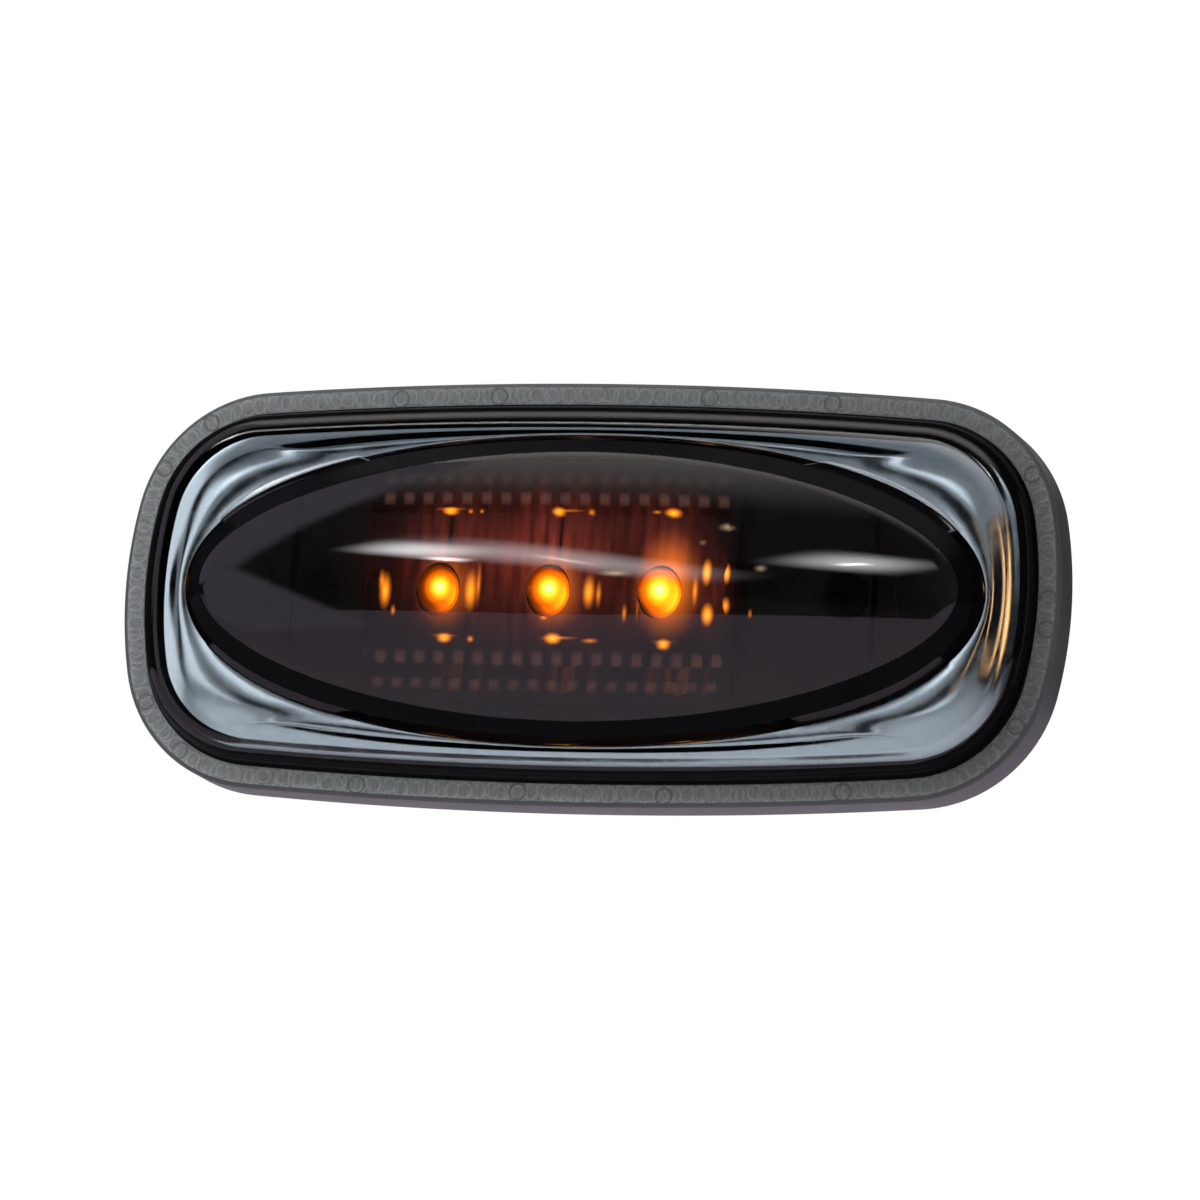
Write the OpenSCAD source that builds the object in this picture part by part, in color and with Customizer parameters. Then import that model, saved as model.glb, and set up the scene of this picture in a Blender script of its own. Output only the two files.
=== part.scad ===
// Oblong LED marker lamp for a vehicle's wing, with a smoked one-piece lens over a dark chrome bezel.
// X runs along the lamp, Z is up and the lens faces -Y. The origin is the centre of the gasket's
// back face, which is the plane that meets the body panel.
// Each piece is drawn lying down, with its front upwards, and stood up by the upright() module.

/* [Outline] */
// Length of the lens flange
lamp_len = 136; // [124:1:150]
// Height of the lens flange
lamp_h = 60; // [58:1:66]
// How far the long sides bow outwards over the length
side_bow = 3.4; // [2.4:0.2:4.4]
// How far the ends bow outwards over the height
end_bow = 7.8; // [6:0.2:9]
// Corner radius of the flange
corner_r = 20; // [16:1:22]

/* [Flange stack] */
// Thickness of the foam gasket
gasket_t = 2.5; // [1.5:0.25:4]
// Thickness of the housing's flange
housing_flange_t = 2.5; // [2.5:0.25:4]
// Thickness of the lens flange
lens_flange_t = 3; // [2:0.25:4]
// Width of the visible flange around the raised lens
rim_w = 3.4; // [3:0.1:4.2]
// Thickness of the lens skirt that wraps the housing's flange
skirt_t = 1.6; // [1.2:0.1:1.8]
// Gap between the lens skirt's edge and the body panel
skirt_gap = 1.2; // [0.6:0.1:1.4]

/* [Lens] */
// Wall of the lens
lens_wall = 2.2; // [1.8:0.1:2.4]
// Height of the lens face above the flange
face_h = 4.2; // [3.8:0.2:6]
// Outer radius of the edge round the face
crown_r = 3; // [2.6:0.1:3.3]
// Length of the raised eye at its foot
eye_len = 114; // [104:1:115]
// Height of the raised eye at its foot
eye_h = 42; // [40:0.5:42.5]
// Width of the sloping side round the eye
eye_side_w = 2; // [1.6:0.1:2.4]
// Rise of the sloping side round the eye
eye_side_h = 1.5; // [1:0.1:2.2]
// Rise of the eye's dome above its side
dome_rise = 3.8; // [2.6:0.2:6]

/* [Bezel] */
// Wall of the chrome bezel
bezel_wall = 1.2; // [0.8:0.1:1.3]
// How far the bezel's face falls from its oval lip to its outer edge
bezel_fall = 0.5; // [0.2:0.1:1.4]
// How far the bezel's face bulges, as a share of its width there
bezel_bulge = 0.02; // [0:0.005:0.04]
// Depth of the lip round the bezel's oval opening
bezel_lip = 1.6; // [0.6:0.1:1.8]

/* [Housing] */
// Length of the tub that passes through the panel
tub_len = 88; // [80:0.5:96]
// Height of the tub
tub_h = 38; // [35:0.5:42]
// Corner radius of the tub
tub_r = 9; // [7:0.5:10]
// Wall of the tub
tub_wall = 2; // [1.6:0.1:2.3]
// How far the tub reaches behind the panel plane
tub_depth = 10; // [9:0.5:18]
// Radius of the two bosses that hold the studs
stud_boss_r = 5.2; // [4.8:0.1:5.6]
// Distance from the tub's end to a stud's axis
stud_gap = 6; // [5.8:0.1:6.5]
// Radius of a stud's threaded shank
stud_r = 2.5; // [2:0.25:2.5]
// Radius of a stud's plain shoulder, which ends at the panel plane
stud_shoulder_r = 2.8; // [2.6:0.1:3]
// How far a stud reaches behind the panel plane
stud_reach = 19; // [14:1:25]
// Width across flats of a stud's head
stud_head_af = 7; // [6:0.5:7.5]
// Thickness of a stud's head
stud_head_t = 2.2; // [1.6:0.1:2.6]

/* [Plug socket] */
// Width inside the plug socket
socket_w = 17; // [16:0.5:20]
// Height inside the plug socket
socket_h = 11; // [10:0.5:14]
// Wall of the plug socket
socket_wall = 2; // [1.4:0.1:2.4]
// Depth of the plug socket behind the tub
socket_depth = 16; // [14:0.5:20]
// Place of the plug socket along the lamp
socket_x = 24; // [21.5:0.5:27]
// Width of a terminal blade
blade_w = 2.8; // [2:0.1:3]
// Thickness of a terminal blade
blade_t = 0.8; // [0.6:0.1:1]
// Distance between the two terminal blades
blade_pitch = 8.4; // [7.4:0.2:9]
// How far the blades stay inside the socket's mouth
blade_setback = 5; // [4.4:0.2:6]

/* [Light unit] */
// Place of the light unit's middle along the lamp
light_x = -4.5; // [-5:0.5:-3]
// Distance between two neighbouring LEDs
led_pitch = 15.8; // [14:0.2:16.6]
// Radius of an LED's body
led_r = 2.5; // [2:0.1:2.6]
// Height of an LED above the board
led_h = 8.6; // [7.6:0.2:9]
// Gap between the circuit board's edge and the tub's wall
board_gap = 1; // [0.4:0.1:1.6]
// Thickness of the circuit board
board_t = 1.6; // [1:0.1:2]
// Height of the board's front face above the panel plane
board_front = 2; // [1.6:0.1:2.4]
// Distance from the tub's end wall to a board screw
screw_inset = 4.5; // [4:0.1:5.5]
// Thickness of the reflector's base plate
reflector_base_t = 2; // [1.2:0.1:2.4]
// Gap between the reflector's trough and the nearer board screw's head
trough_end_gap = 3; // [1:0.25:5]
// Gap between the reflector's trough and the edge of its base plate
trough_side_gap = 0.6; // [0:0.1:1.5]
// Depth of the trough below its rim
trough_depth = 5.2; // [4.8:0.1:5.4]
// Pillow facets in a row
pillow_count = 16; // [8:1:20]
// How far a pillow facet stands out
pillow_rise = 0.35; // [0.15:0.05:0.5]

/* [Hidden] */

$fn = 48;

// Running clearance round a piece that is dropped into another
fit_gap = 0.3;
// Line-to-line clearance round a pressed or driven shank
press_gap = 0.05;

// Heights above the panel plane, from back to front
housing_back = gasket_t;
shelf = housing_back + housing_flange_t;
flange_front = shelf + lens_flange_t;
face_top = flange_front + face_h;
eye_top = face_top + eye_side_h;
tub_floor = tub_wall - tub_depth;
socket_mouth = -tub_depth - socket_depth;
board_back = board_front - board_t;
trough_floor = board_front + reflector_base_t;
trough_rim = trough_floor + trough_depth;

// What lies in the tub, from its walls inwards
tub_inner_len = tub_len - 2 * tub_wall;
tub_inner_h = tub_h - 2 * tub_wall;
tub_inner_r = tub_r - tub_wall;
board_len = tub_inner_len - 2 * board_gap;
board_h = tub_inner_h - 2 * board_gap;
screw_pitch = tub_inner_len - 2 * screw_inset;
stud_pitch = tub_len + 2 * stud_gap;

// The four arcs of one quarter of the barrel-shaped outline
half_len = lamp_len / 2;
half_h = lamp_h / 2;
side_arc_r = (half_len * half_len + side_bow * side_bow) / (2 * side_bow);
end_arc_r = (half_h * half_h + end_bow * end_bow) / (2 * end_bow);
side_centre = [0, half_h - side_arc_r];
end_centre = [half_len - end_arc_r, 0];
corner_centre = arcs_meeting(side_centre, side_arc_r - corner_r, end_centre, end_arc_r - corner_r);
end_angle = atan2(corner_centre.y - end_centre.y, corner_centre.x - end_centre.x);
side_angle = atan2(corner_centre.y - side_centre.y, corner_centre.x - side_centre.x);
end_steps = 4;
corner_steps = 8;
side_steps = 6;
eye_angles = [for (p = outline(0)) atan2(p.y / half_h, p.x / half_len)];

// Insets from the flange's edge, from the outside inwards
flange_edge_r = 0.6;
foot_fillet = 0.3;
wall_draft = 0.25;
lens_wall_inset = rim_w + wall_draft;
bezel_inset = lens_wall_inset + lens_wall + fit_gap;
housing_inset = skirt_t + fit_gap / 2;
bead_w = 1.6;
bead_depth = 1.2;
bead_inset = housing_inset + 0.8;

// A stud's head is moulded into its boss, over a web of plastic
stud_web_t = 1.2;
stud_cover_t = 0.8;
stud_head_back = housing_back + stud_web_t;
stud_boss_top = stud_head_back + stud_head_t + stud_cover_t;

// Raised eye and its dome
eye_half_len = eye_len / 2;
eye_half_h = eye_h / 2;
foot_power = 2.1;
edge_power = 1.9;
dome_shares = [0.93, 0.84, 0.72, 0.58, 0.42, 0.26, 0.12];

// Bezel heights and its rounded edges
bezel_lip_top = face_top - lens_wall - fit_gap - 0.2;
bezel_edge_top = bezel_lip_top - bezel_fall;
bezel_edge_r = 1.1;

// Board screws
screw_r = 1.45;
screw_head_r = 2.8;
screw_head_h = 1.8;
screw_len = 9.5;
screw_boss_r = 3.4;
screw_recess_w = 0.8;
screw_recess_depth = 0.9;

// Ribs under the board's long edges
board_rib_len = 6;
board_rib_w = 1.2;

// LED flange, leads and the holes round them
led_flange_r = led_r + 0.4;
led_flange_h = 1;
lead_w = 0.5;
lead_pitch = 2.54;
lead_reach = 1.3;
lead_hole_r = 0.5;

// How far the blades stand out of the board's front, and the room round them in the reflector
blade_top = 0.7;
blade_room = 1;

// Reflector trough
trough_wall = 1.2;
pillow_step_out = 2.4;
pillow_step_up = 2;
pillow_riser = 0.2;
pillow_seat = 0.06;
pillow_margin = 0.12;
pillow_root = 0.5;
trough_end_x = screw_pitch / 2 - screw_head_r - trough_end_gap;
trough_len = 2 * (trough_end_x - trough_wall - abs(light_x));
trough_floor_h = board_h - 2 * (trough_side_gap + trough_wall + 2 * pillow_step_out);
pillow_pitch = trough_len / pillow_count;
flute_count = 6;

// Parts on the back of the board
chip_y = 9;
resistor_size = [6.4, 3.2, 0.7];
diode_size = [4.4, 2.7, 2.2];
capacitor_size = [3.2, 1.7, 1.3];
chip_cap = 0.6;
chip_cap_over = 0.1;

// Breather patch over the vent hole
vent_x = -22;
vent_r = 1.5;
patch_r = 4.3;
patch_t = 0.5;

// Latch and guide ribs outside the plug socket
latch_w = 6;
latch_len = 4;
latch_h = 1.6;
latch_setback = 3;
guide_w = 1.4;
guide_h = 1.2;

function mix(a, b, t) = a + (b - a) * t;

// Where two circles cross, on the side of the positive quarter
function arcs_meeting(c1, r1, c2, r2) =
    let(
        gap = norm(c2 - c1),
        along = (c2 - c1) / gap,
        across = [along.y, -along.x],
        k = (r1 * r1 - r2 * r2 + gap * gap) / (2 * gap)
    )
    c1 + along * k + across * sqrt(r1 * r1 - k * k);

function arc_point(centre, r, angle) = centre + r * [cos(angle), sin(angle)];

// One quarter of the outline, moved inwards by inset
function quarter(inset) = concat(
    [for (i = [0:end_steps - 1])
        arc_point(end_centre, end_arc_r - inset, mix(0, end_angle, i / end_steps))],
    [for (i = [0:corner_steps - 1])
        arc_point(corner_centre, corner_r - inset, mix(end_angle, side_angle, i / corner_steps))],
    [for (i = [0:side_steps])
        arc_point(side_centre, side_arc_r - inset, mix(side_angle, 90, i / side_steps))]
);

function outline(inset) =
    let(q = quarter(inset), n = len(q))
    concat(
        q,
        [for (i = [n - 2:-1:0]) [-q[i].x, q[i].y]],
        [for (i = [1:n - 1]) [-q[i].x, -q[i].y]],
        [for (i = [n - 2:-1:1]) [q[i].x, -q[i].y]]
    );

// An oval with one point for each point of the outline: a power of 2 gives an ellipse, more is fuller
function oval(a, b, power) = [for (t = eye_angles) [a * root(cos(t), power), b * root(sin(t), power)]];
function root(v, power) = sign(v) * pow(abs(v), 2 / power);

// The ring that lies a share t of the way from one ring to another
function between(from, to, t) = [for (i = [0:len(from) - 1]) mix(from[i], to[i], t)];

// A ring in the bezel's bulging face, a share t of the way across it and lowered by drop
function bulged_ring(from, to, low, high, t, drop) = [
    for (i = [0:len(from) - 1])
        let(p = mix(from[i], to[i], t), bulge = bezel_bulge * norm(to[i] - from[i]) * sin(180 * t))
        [p.x, p.y, mix(low, high, t) + bulge - drop]
];

// A flat ring lifted to height w
function flat_ring(ring, w) = [for (p = ring) [p.x, p.y, w]];

// A rounded rectangle
function rounded(w, h, r, steps = 6) = [
    for (corner = [0:3], i = [0:steps])
        let(a = 90 * (corner + i / steps),
            sx = corner == 0 || corner == 3 ? 1 : -1,
            sy = corner < 2 ? 1 : -1)
        [sx * (w / 2 - r) + r * cos(a), sy * (h / 2 - r) + r * sin(a)]
];

// Points moved along X
function moved(points, x) = [for (p = points) p + [x, 0]];

// Triangles between two neighbouring rings of n points
function band(a, b, n) = [
    for (i = [0:n - 1], k = [0, 1])
        let(j = (i + 1) % n)
        k == 0 ? [a + i, b + i, b + j] : [a + i, b + j, a + j]
];

// A solid whose skin runs through the rings in turn and back to the first one
module ring_solid(rings) {
    n = len(rings[0]);
    m = len(rings);
    polyhedron(
        points = [for (r = rings, p = r) p],
        faces = [for (k = [0:m - 1], f = band(k * n, ((k + 1) % m) * n, n)) f]
    );
}

// A cup-like solid whose skin runs from one middle point through the rings to another
module cup_solid(first, rings, last) {
    n = len(rings[0]);
    m = len(rings);
    end = n * m + 1;
    polyhedron(
        points = concat([first], [for (r = rings, p = r) p], [last]),
        faces = concat(
            [for (i = [0:n - 1]) [0, 1 + i, 1 + (i + 1) % n]],
            [for (k = [0:m - 2], f = band(1 + k * n, 1 + (k + 1) * n, n)) f],
            [for (i = [0:n - 1]) [end, end - n + (i + 1) % n, end - n + i]]
        )
    );
}

// Stands a piece up, so that its front faces -Y
module upright() {
    rotate([90, 0, 0]) children();
}

module slab(points, low, high) {
    translate([0, 0, low]) linear_extrude(high - low) polygon(points);
}

module block(size, centre, low, high) {
    translate([centre.x - size.x / 2, centre.y - size.y / 2, low]) cube([size.x, size.y, high - low]);
}

module post(r, centre, low, high) {
    translate([centre.x, centre.y, low]) cylinder(r = r, h = high - low);
}

module hexagon_post(af, centre, low, high) {
    translate([centre.x, centre.y, low]) cylinder(r = af / sqrt(3), h = high - low, $fn = 6);
}

function stud_at(side) = [side * stud_pitch / 2, 0];
function screw_at(side) = [side * screw_pitch / 2, 0];
function blade_at(side) = [socket_x + side * blade_pitch / 2, 0];
function led_at(number) = [light_x + (number - 2) * led_pitch, 0];
function lead_at(number, side) = led_at(number) + [side * lead_pitch / 2, 0];

// Rings of the lens, from the eye's foot towards the middle, lowered by drop
function eye_rings(drop) = let(
        foot = oval(eye_half_len, eye_half_h, foot_power),
        edge = oval(eye_half_len - eye_side_w, eye_half_h - eye_side_w, edge_power)
    ) concat(
        [flat_ring(foot, face_top - drop)],
        [flat_ring(between(foot, edge, 0.25), face_top + eye_side_h * 0.18 - drop)],
        [flat_ring(between(foot, edge, 0.75), face_top + eye_side_h * 0.85 - drop)],
        [flat_ring(edge, eye_top - drop)],
        [for (s = dome_shares) flat_ring(s * edge, eye_top + dome_rise * (1 - s * s) - drop)]
    );

// Rings of the lens's crown edge, with the wall at the given inset
function crown_rings(inset, r, top, steps) = [
    for (i = [0:steps])
        let(a = 90 * i / steps)
        flat_ring(outline(inset + r * (1 - cos(a))), top - r * (1 - sin(a)))
];

module outer_lens() {
    inner_inset = lens_wall_inset + lens_wall;
    inner_r = crown_r - lens_wall;
    face_outer = outline(lens_wall_inset + crown_r);
    face_inner = outline(inner_inset + inner_r);
    foot = oval(eye_half_len, eye_half_h, foot_power);
    apex = eye_top + dome_rise;
    outside = concat(
        [flat_ring(outline(0), skirt_gap)],
        [flat_ring(outline(0), flange_front - flange_edge_r)],
        [flat_ring(outline(flange_edge_r * 0.3), flange_front - flange_edge_r * 0.3)],
        [flat_ring(outline(flange_edge_r), flange_front)],
        [flat_ring(outline(rim_w - foot_fillet), flange_front)],
        [flat_ring(outline(rim_w), flange_front + foot_fillet)],
        crown_rings(lens_wall_inset, crown_r, face_top, 5),
        [flat_ring(between(face_outer, foot, 0.5), face_top)],
        eye_rings(0)
    );
    inside = concat(
        [flat_ring(outline(skirt_t), skirt_gap)],
        [flat_ring(outline(skirt_t), shelf)],
        [flat_ring(outline(inner_inset), shelf)],
        crown_rings(inner_inset, inner_r, face_top - lens_wall, 3),
        [flat_ring(between(face_inner, foot, 0.5), face_top - lens_wall)],
        eye_rings(lens_wall)
    );
    backwards = [for (k = [len(outside) - 1:-1:0]) outside[k]];
    color([0.16, 0.16, 0.18, 0.75])
        upright()
            cup_solid([0, 0, apex], concat(backwards, inside), [0, 0, apex - lens_wall]);
}

module chrome_bezel() {
    lip = oval(eye_half_len, eye_half_h, foot_power);
    lip_outer = oval(eye_half_len + bezel_wall, eye_half_h + bezel_wall, foot_power);
    edge = outline(bezel_inset + bezel_edge_r);
    front = concat(
        [flat_ring(outline(bezel_inset), shelf)],
        crown_rings(bezel_inset, bezel_edge_r, bezel_edge_top, 3),
        [for (t = [0.2:0.2:0.8]) bulged_ring(edge, lip_outer, bezel_edge_top, bezel_lip_top, t, 0)],
        [flat_ring(between(lip, lip_outer, 0.7), bezel_lip_top)],
        [flat_ring(lip, bezel_lip_top - 0.4)],
        [flat_ring(lip, bezel_lip_top - bezel_lip)]
    );
    under_edge = outline(bezel_inset + bezel_wall);
    back = concat(
        [flat_ring(lip_outer, bezel_lip_top - bezel_lip)],
        [for (t = [0.8:-0.2:0.2])
            bulged_ring(under_edge, lip_outer, bezel_edge_top, bezel_lip_top, t, bezel_wall)],
        [flat_ring(under_edge, bezel_edge_top - bezel_wall)],
        [flat_ring(under_edge, shelf)]
    );
    color([0.36, 0.40, 0.42]) upright() ring_solid(concat(front, back));
}

// A strip with convex scallops along X, standing on y = 0
module scalloped_strip(count, pitch, rise, root) {
    steps = 4;
    top = [
        for (i = [0:count - 1], k = [0:steps - 1])
            let(t = k / steps)
            [(i + t - count / 2) * pitch, rise * 4 * t * (1 - t)]
    ];
    half = count / 2 * pitch;
    polygon(concat([[-half, -root]], top, [[half, 0], [half, -root]]));
}

// One row of pillows on a step of the trough's long wall
module pillow_row(out, low) {
    slope = atan2(pillow_step_up, pillow_step_out);
    run = norm([pillow_step_out, pillow_step_up]);
    translate([light_x, out, low])
        rotate([slope - 90, 0, 0])
            translate([0, -pillow_seat, pillow_margin])
                linear_extrude(run - 2 * pillow_margin)
                    mirror([0, 1, 0])
                        scalloped_strip(pillow_count, pillow_pitch, pillow_rise, pillow_root);
}

// One long side of the trough, with its two stepped rows of pillows
module trough_side() {
    half = trough_floor_h / 2;
    row_1 = trough_rim - 2 * pillow_step_up - pillow_riser;
    row_2 = row_1 + pillow_step_up + pillow_riser;
    outer = half + 2 * pillow_step_out + trough_wall;
    translate([light_x - trough_len / 2, 0, 0])
        rotate([90, 0, 90])
            linear_extrude(trough_len)
                polygon([
                    [half, board_front + reflector_base_t / 2],
                    [half, row_1],
                    [half + pillow_step_out, row_1 + pillow_step_up],
                    [half + pillow_step_out, row_2],
                    [half + 2 * pillow_step_out, trough_rim],
                    [outer, trough_rim],
                    [outer, board_front + reflector_base_t / 2]
                ]);
    pillow_row(half, row_1);
    pillow_row(half + pillow_step_out, row_2);
}

// One end wall of the trough, with upright flutes across the flat floor's height
module trough_end() {
    outer_h = trough_floor_h + 4 * pillow_step_out + 2 * trough_wall;
    block([trough_wall, outer_h], [trough_len / 2 + trough_wall / 2, 0],
        board_front + reflector_base_t / 2, trough_rim);
    translate([trough_len / 2 + 0.1, 0, trough_floor - 0.1])
        rotate([0, 0, 90])
            linear_extrude(trough_depth + 0.1)
                scalloped_strip(flute_count, trough_floor_h / flute_count, pillow_rise + 0.1, 0.1);
}

module reflector() {
    color([0.55, 0.54, 0.55])
        upright()
            difference() {
                union() {
                    slab(rounded(board_len, board_h, tub_inner_r), board_front, trough_floor);
                    trough_side();
                    mirror([0, 1, 0]) trough_side();
                    translate([light_x, 0, 0]) {
                        trough_end();
                        mirror([1, 0, 0]) trough_end();
                    }
                }
                for (number = [1:3])
                    post(led_flange_r + fit_gap, led_at(number), board_front - 1, trough_floor + 1);
                for (side = [-1, 1])
                    post(screw_r + fit_gap, screw_at(side), board_front - 1, trough_floor + 1);
                for (side = [-1, 1])
                    block([blade_w + 2 * blade_room, blade_t + 2 * blade_room], blade_at(side),
                        board_front - 1, board_front + blade_top + press_gap);
            }
}

module housing() {
    color([0.07, 0.07, 0.08])
        upright()
            difference() {
                union() {
                    slab(outline(housing_inset), housing_back, shelf);
                    slab(rounded(tub_len, tub_h, tub_r), -tub_depth, housing_back);
                    for (side = [-1, 1])
                        post(stud_boss_r, stud_at(side), shelf, stud_boss_top);
                    plug_shroud();
                }
                difference() {
                    slab(rounded(tub_inner_len, tub_inner_h, tub_inner_r), tub_floor, shelf + 1);
                    for (side = [-1, 1])
                        post(screw_boss_r, screw_at(side), -tub_depth, board_back);
                    for (side = [-1, 1])
                        block([board_rib_len, board_rib_w], [light_x, side * (board_h - board_rib_w) / 2],
                            -tub_depth, board_back);
                }
                difference() {
                    slab(outline(bead_inset), shelf - bead_depth, shelf + 1);
                    slab(outline(bead_inset + bead_w), shelf - bead_depth - 1, shelf + 2);
                }
                for (side = [-1, 1]) {
                    post(stud_shoulder_r + press_gap, stud_at(side), housing_back - 1, stud_head_back);
                    hexagon_post(stud_head_af + 2 * press_gap, stud_at(side), stud_head_back,
                        stud_head_back + stud_head_t + press_gap);
                    post(screw_r + press_gap, screw_at(side), tub_floor, board_back + 1);
                    block([blade_w, blade_t], blade_at(side), -tub_depth - 1, tub_floor + 1);
                }
                post(vent_r, [vent_x, 0], -tub_depth - 1, tub_floor + 1);
                post(patch_r + press_gap, [vent_x, 0], -tub_depth - 1, patch_t - tub_depth);
            }
}

// The plug socket's shroud, with its latch and guide ribs
module plug_shroud() {
    outer = [socket_w + 2 * socket_wall, socket_h + 2 * socket_wall];
    difference() {
        slab(moved(rounded(outer.x, outer.y, 2.5), socket_x), socket_mouth, -tub_depth + 0.5);
        slab(moved(rounded(socket_w, socket_h, 1), socket_x), socket_mouth - 1, -tub_depth);
    }
    translate([socket_x - latch_w / 2, outer.y / 2 - 0.2, socket_mouth + latch_setback])
        rotate([90, 0, 90])
            linear_extrude(latch_w)
                polygon([
                    [0, 0],
                    [0.4, 0],
                    [latch_h + 0.2, latch_len - 0.6],
                    [latch_h + 0.2, latch_len],
                    [0, latch_len]
                ]);
    for (side = [-1, 1])
        block([guide_w, guide_h + 0.4],
            [socket_x + side * (latch_w / 2 + guide_w), outer.y / 2 + guide_h / 2 - 0.2],
            socket_mouth + latch_setback, -tub_depth + 0.5);
}

module mounting_gasket() {
    color([0.14, 0.14, 0.14])
        upright()
            difference() {
                slab(outline(housing_inset + fit_gap), 0, gasket_t);
                slab(rounded(tub_len + 2 * fit_gap, tub_h + 2 * fit_gap, tub_r + fit_gap), -1, gasket_t + 1);
                for (side = [-1, 1])
                    post(stud_shoulder_r + fit_gap, stud_at(side), -1, gasket_t + 1);
            }
}

module sealant_bead() {
    color([0.42, 0.42, 0.43])
        upright()
            difference() {
                slab(outline(bead_inset), shelf - bead_depth, shelf);
                slab(outline(bead_inset + bead_w), shelf - bead_depth - 1, shelf + 1);
            }
}

module circuit_board() {
    color([0.05, 0.16, 0.09])
        upright()
            difference() {
                slab(rounded(board_len, board_h, tub_inner_r), board_back, board_front);
                for (side = [-1, 1]) {
                    post(screw_r + fit_gap, screw_at(side), board_back - 1, board_front + 1);
                    block([blade_w + 0.2, blade_t + 0.2], blade_at(side), board_back - 1, board_front + 1);
                }
                for (number = [1:3], side = [-1, 1])
                    post(lead_hole_r, lead_at(number, side), board_back - 1, board_front + 1);
            }
}

module led(number) {
    color([1, 0.55, 0.08])
        upright()
            union() {
                post(led_flange_r, led_at(number), board_front, board_front + led_flange_h);
                post(led_r, led_at(number), board_front, board_front + led_h - led_r);
                translate([led_at(number).x, 0, board_front + led_h - led_r]) sphere(r = led_r);
                for (side = [-1, 1])
                    block([lead_w, lead_w], lead_at(number, side), board_back - lead_reach, board_front + 0.5);
            }
}

// A surface-mount part on the back of the board, with a metal cap at each end
module chip(size, centre, cap_over) {
    low = board_back - size.z;
    block([size.x - 2 * chip_cap, size.y], centre, low + cap_over, board_back - cap_over);
    for (side = [-1, 1])
        block([chip_cap, size.y], centre + [side * (size.x - chip_cap) / 2, 0], low, board_back);
}

module series_resistor(side) {
    color([0.1, 0.1, 0.1])
        upright() chip(resistor_size, [light_x + side * led_pitch / 2, chip_y], chip_cap_over);
}

module polarity_diode() {
    color([0.12, 0.12, 0.12])
        upright() chip(diode_size, [socket_x, chip_y], chip_cap_over);
}

module filter_capacitor() {
    color([0.55, 0.42, 0.28])
        upright() chip(capacitor_size, [socket_x, -chip_y], chip_cap_over);
}

module terminal_blade(side) {
    tip = socket_mouth + blade_setback;
    taper = blade_w / 4;
    color([0.78, 0.78, 0.74])
        upright()
            translate([blade_at(side).x, blade_t / 2, 0])
                rotate([90, 0, 0])
                    linear_extrude(blade_t)
                        polygon([
                            [-blade_w / 2, board_front + blade_top],
                            [blade_w / 2, board_front + blade_top],
                            [blade_w / 2, tip + taper],
                            [blade_w / 2 - taper, tip],
                            [taper - blade_w / 2, tip],
                            [-blade_w / 2, tip + taper]
                        ]);
}

module board_screw(side) {
    top = trough_floor + screw_head_h;
    color([0.1, 0.1, 0.11])
        upright()
            difference() {
                union() {
                    post(screw_head_r, screw_at(side), trough_floor, top);
                    post(screw_r, screw_at(side), trough_floor - screw_len, trough_floor + 0.5);
                }
                for (turn = [0, 90])
                    translate([screw_at(side).x, 0, top - screw_recess_depth])
                        rotate([0, 0, turn])
                            block([screw_head_r * 1.2, screw_recess_w], [0, 0], 0, screw_recess_depth + 1);
            }
}

module mounting_stud(side) {
    color([0.72, 0.7, 0.62])
        upright()
            union() {
                hexagon_post(stud_head_af, stud_at(side), stud_head_back, stud_head_back + stud_head_t);
                post(stud_shoulder_r, stud_at(side), 0, stud_head_back + 0.5);
                post(stud_r, stud_at(side), -stud_reach, 0.5);
            }
}

module breather_patch() {
    color([0.85, 0.85, 0.83])
        upright() post(patch_r, [vent_x, 0], -tub_depth, patch_t - tub_depth);
}

outer_lens();
chrome_bezel();
reflector();
housing();
mounting_gasket();
sealant_bead();
circuit_board();
led(1);  // led_1
led(2);  // led_2
led(3);  // led_3
series_resistor(-1);  // series_resistor_1
series_resistor(1);  // series_resistor_2
polarity_diode();
filter_capacitor();
terminal_blade(1);  // terminal_blade_positive
terminal_blade(-1);  // terminal_blade_negative
board_screw(-1);  // board_screw_left
board_screw(1);  // board_screw_right
mounting_stud(-1);  // mounting_stud_left
mounting_stud(1);  // mounting_stud_right
breather_patch();
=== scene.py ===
from math import atan2, cos, degrees, hypot, pi, radians, sin, tan

import bmesh
import bpy
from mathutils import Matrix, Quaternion, Vector


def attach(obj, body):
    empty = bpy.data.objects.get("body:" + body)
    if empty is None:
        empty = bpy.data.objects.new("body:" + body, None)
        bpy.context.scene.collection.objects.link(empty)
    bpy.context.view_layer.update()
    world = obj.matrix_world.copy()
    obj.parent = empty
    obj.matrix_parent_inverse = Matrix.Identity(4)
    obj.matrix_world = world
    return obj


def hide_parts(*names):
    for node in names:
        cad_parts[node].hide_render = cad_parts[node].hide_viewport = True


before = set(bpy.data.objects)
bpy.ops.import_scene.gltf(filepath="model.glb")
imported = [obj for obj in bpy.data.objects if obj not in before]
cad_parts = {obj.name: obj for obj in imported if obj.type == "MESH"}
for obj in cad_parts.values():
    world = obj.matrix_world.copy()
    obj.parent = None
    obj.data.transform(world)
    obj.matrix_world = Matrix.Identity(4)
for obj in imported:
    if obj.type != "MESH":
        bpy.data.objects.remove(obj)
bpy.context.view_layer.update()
mm = 0.001

# ---- The studio: a long-lens camera a little below the lamp, a pale floor, a white surround, a wide
# softbox overhead, a key light at the left and a warm lamp at the right. Dark cloths and soft lamps round
# it show only in reflections: some on the outer gloss, others on the bezel through the lens.
flange_middle = Vector((0, -8 * mm, 0))
photo_azimuth, photo_elevation, photo_roll = 17.13, -10.2, radians(4)
photo_distance = 1442 * mm
photo_shift = Vector((1.962 * mm, -0.849 * mm, 0))


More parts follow.
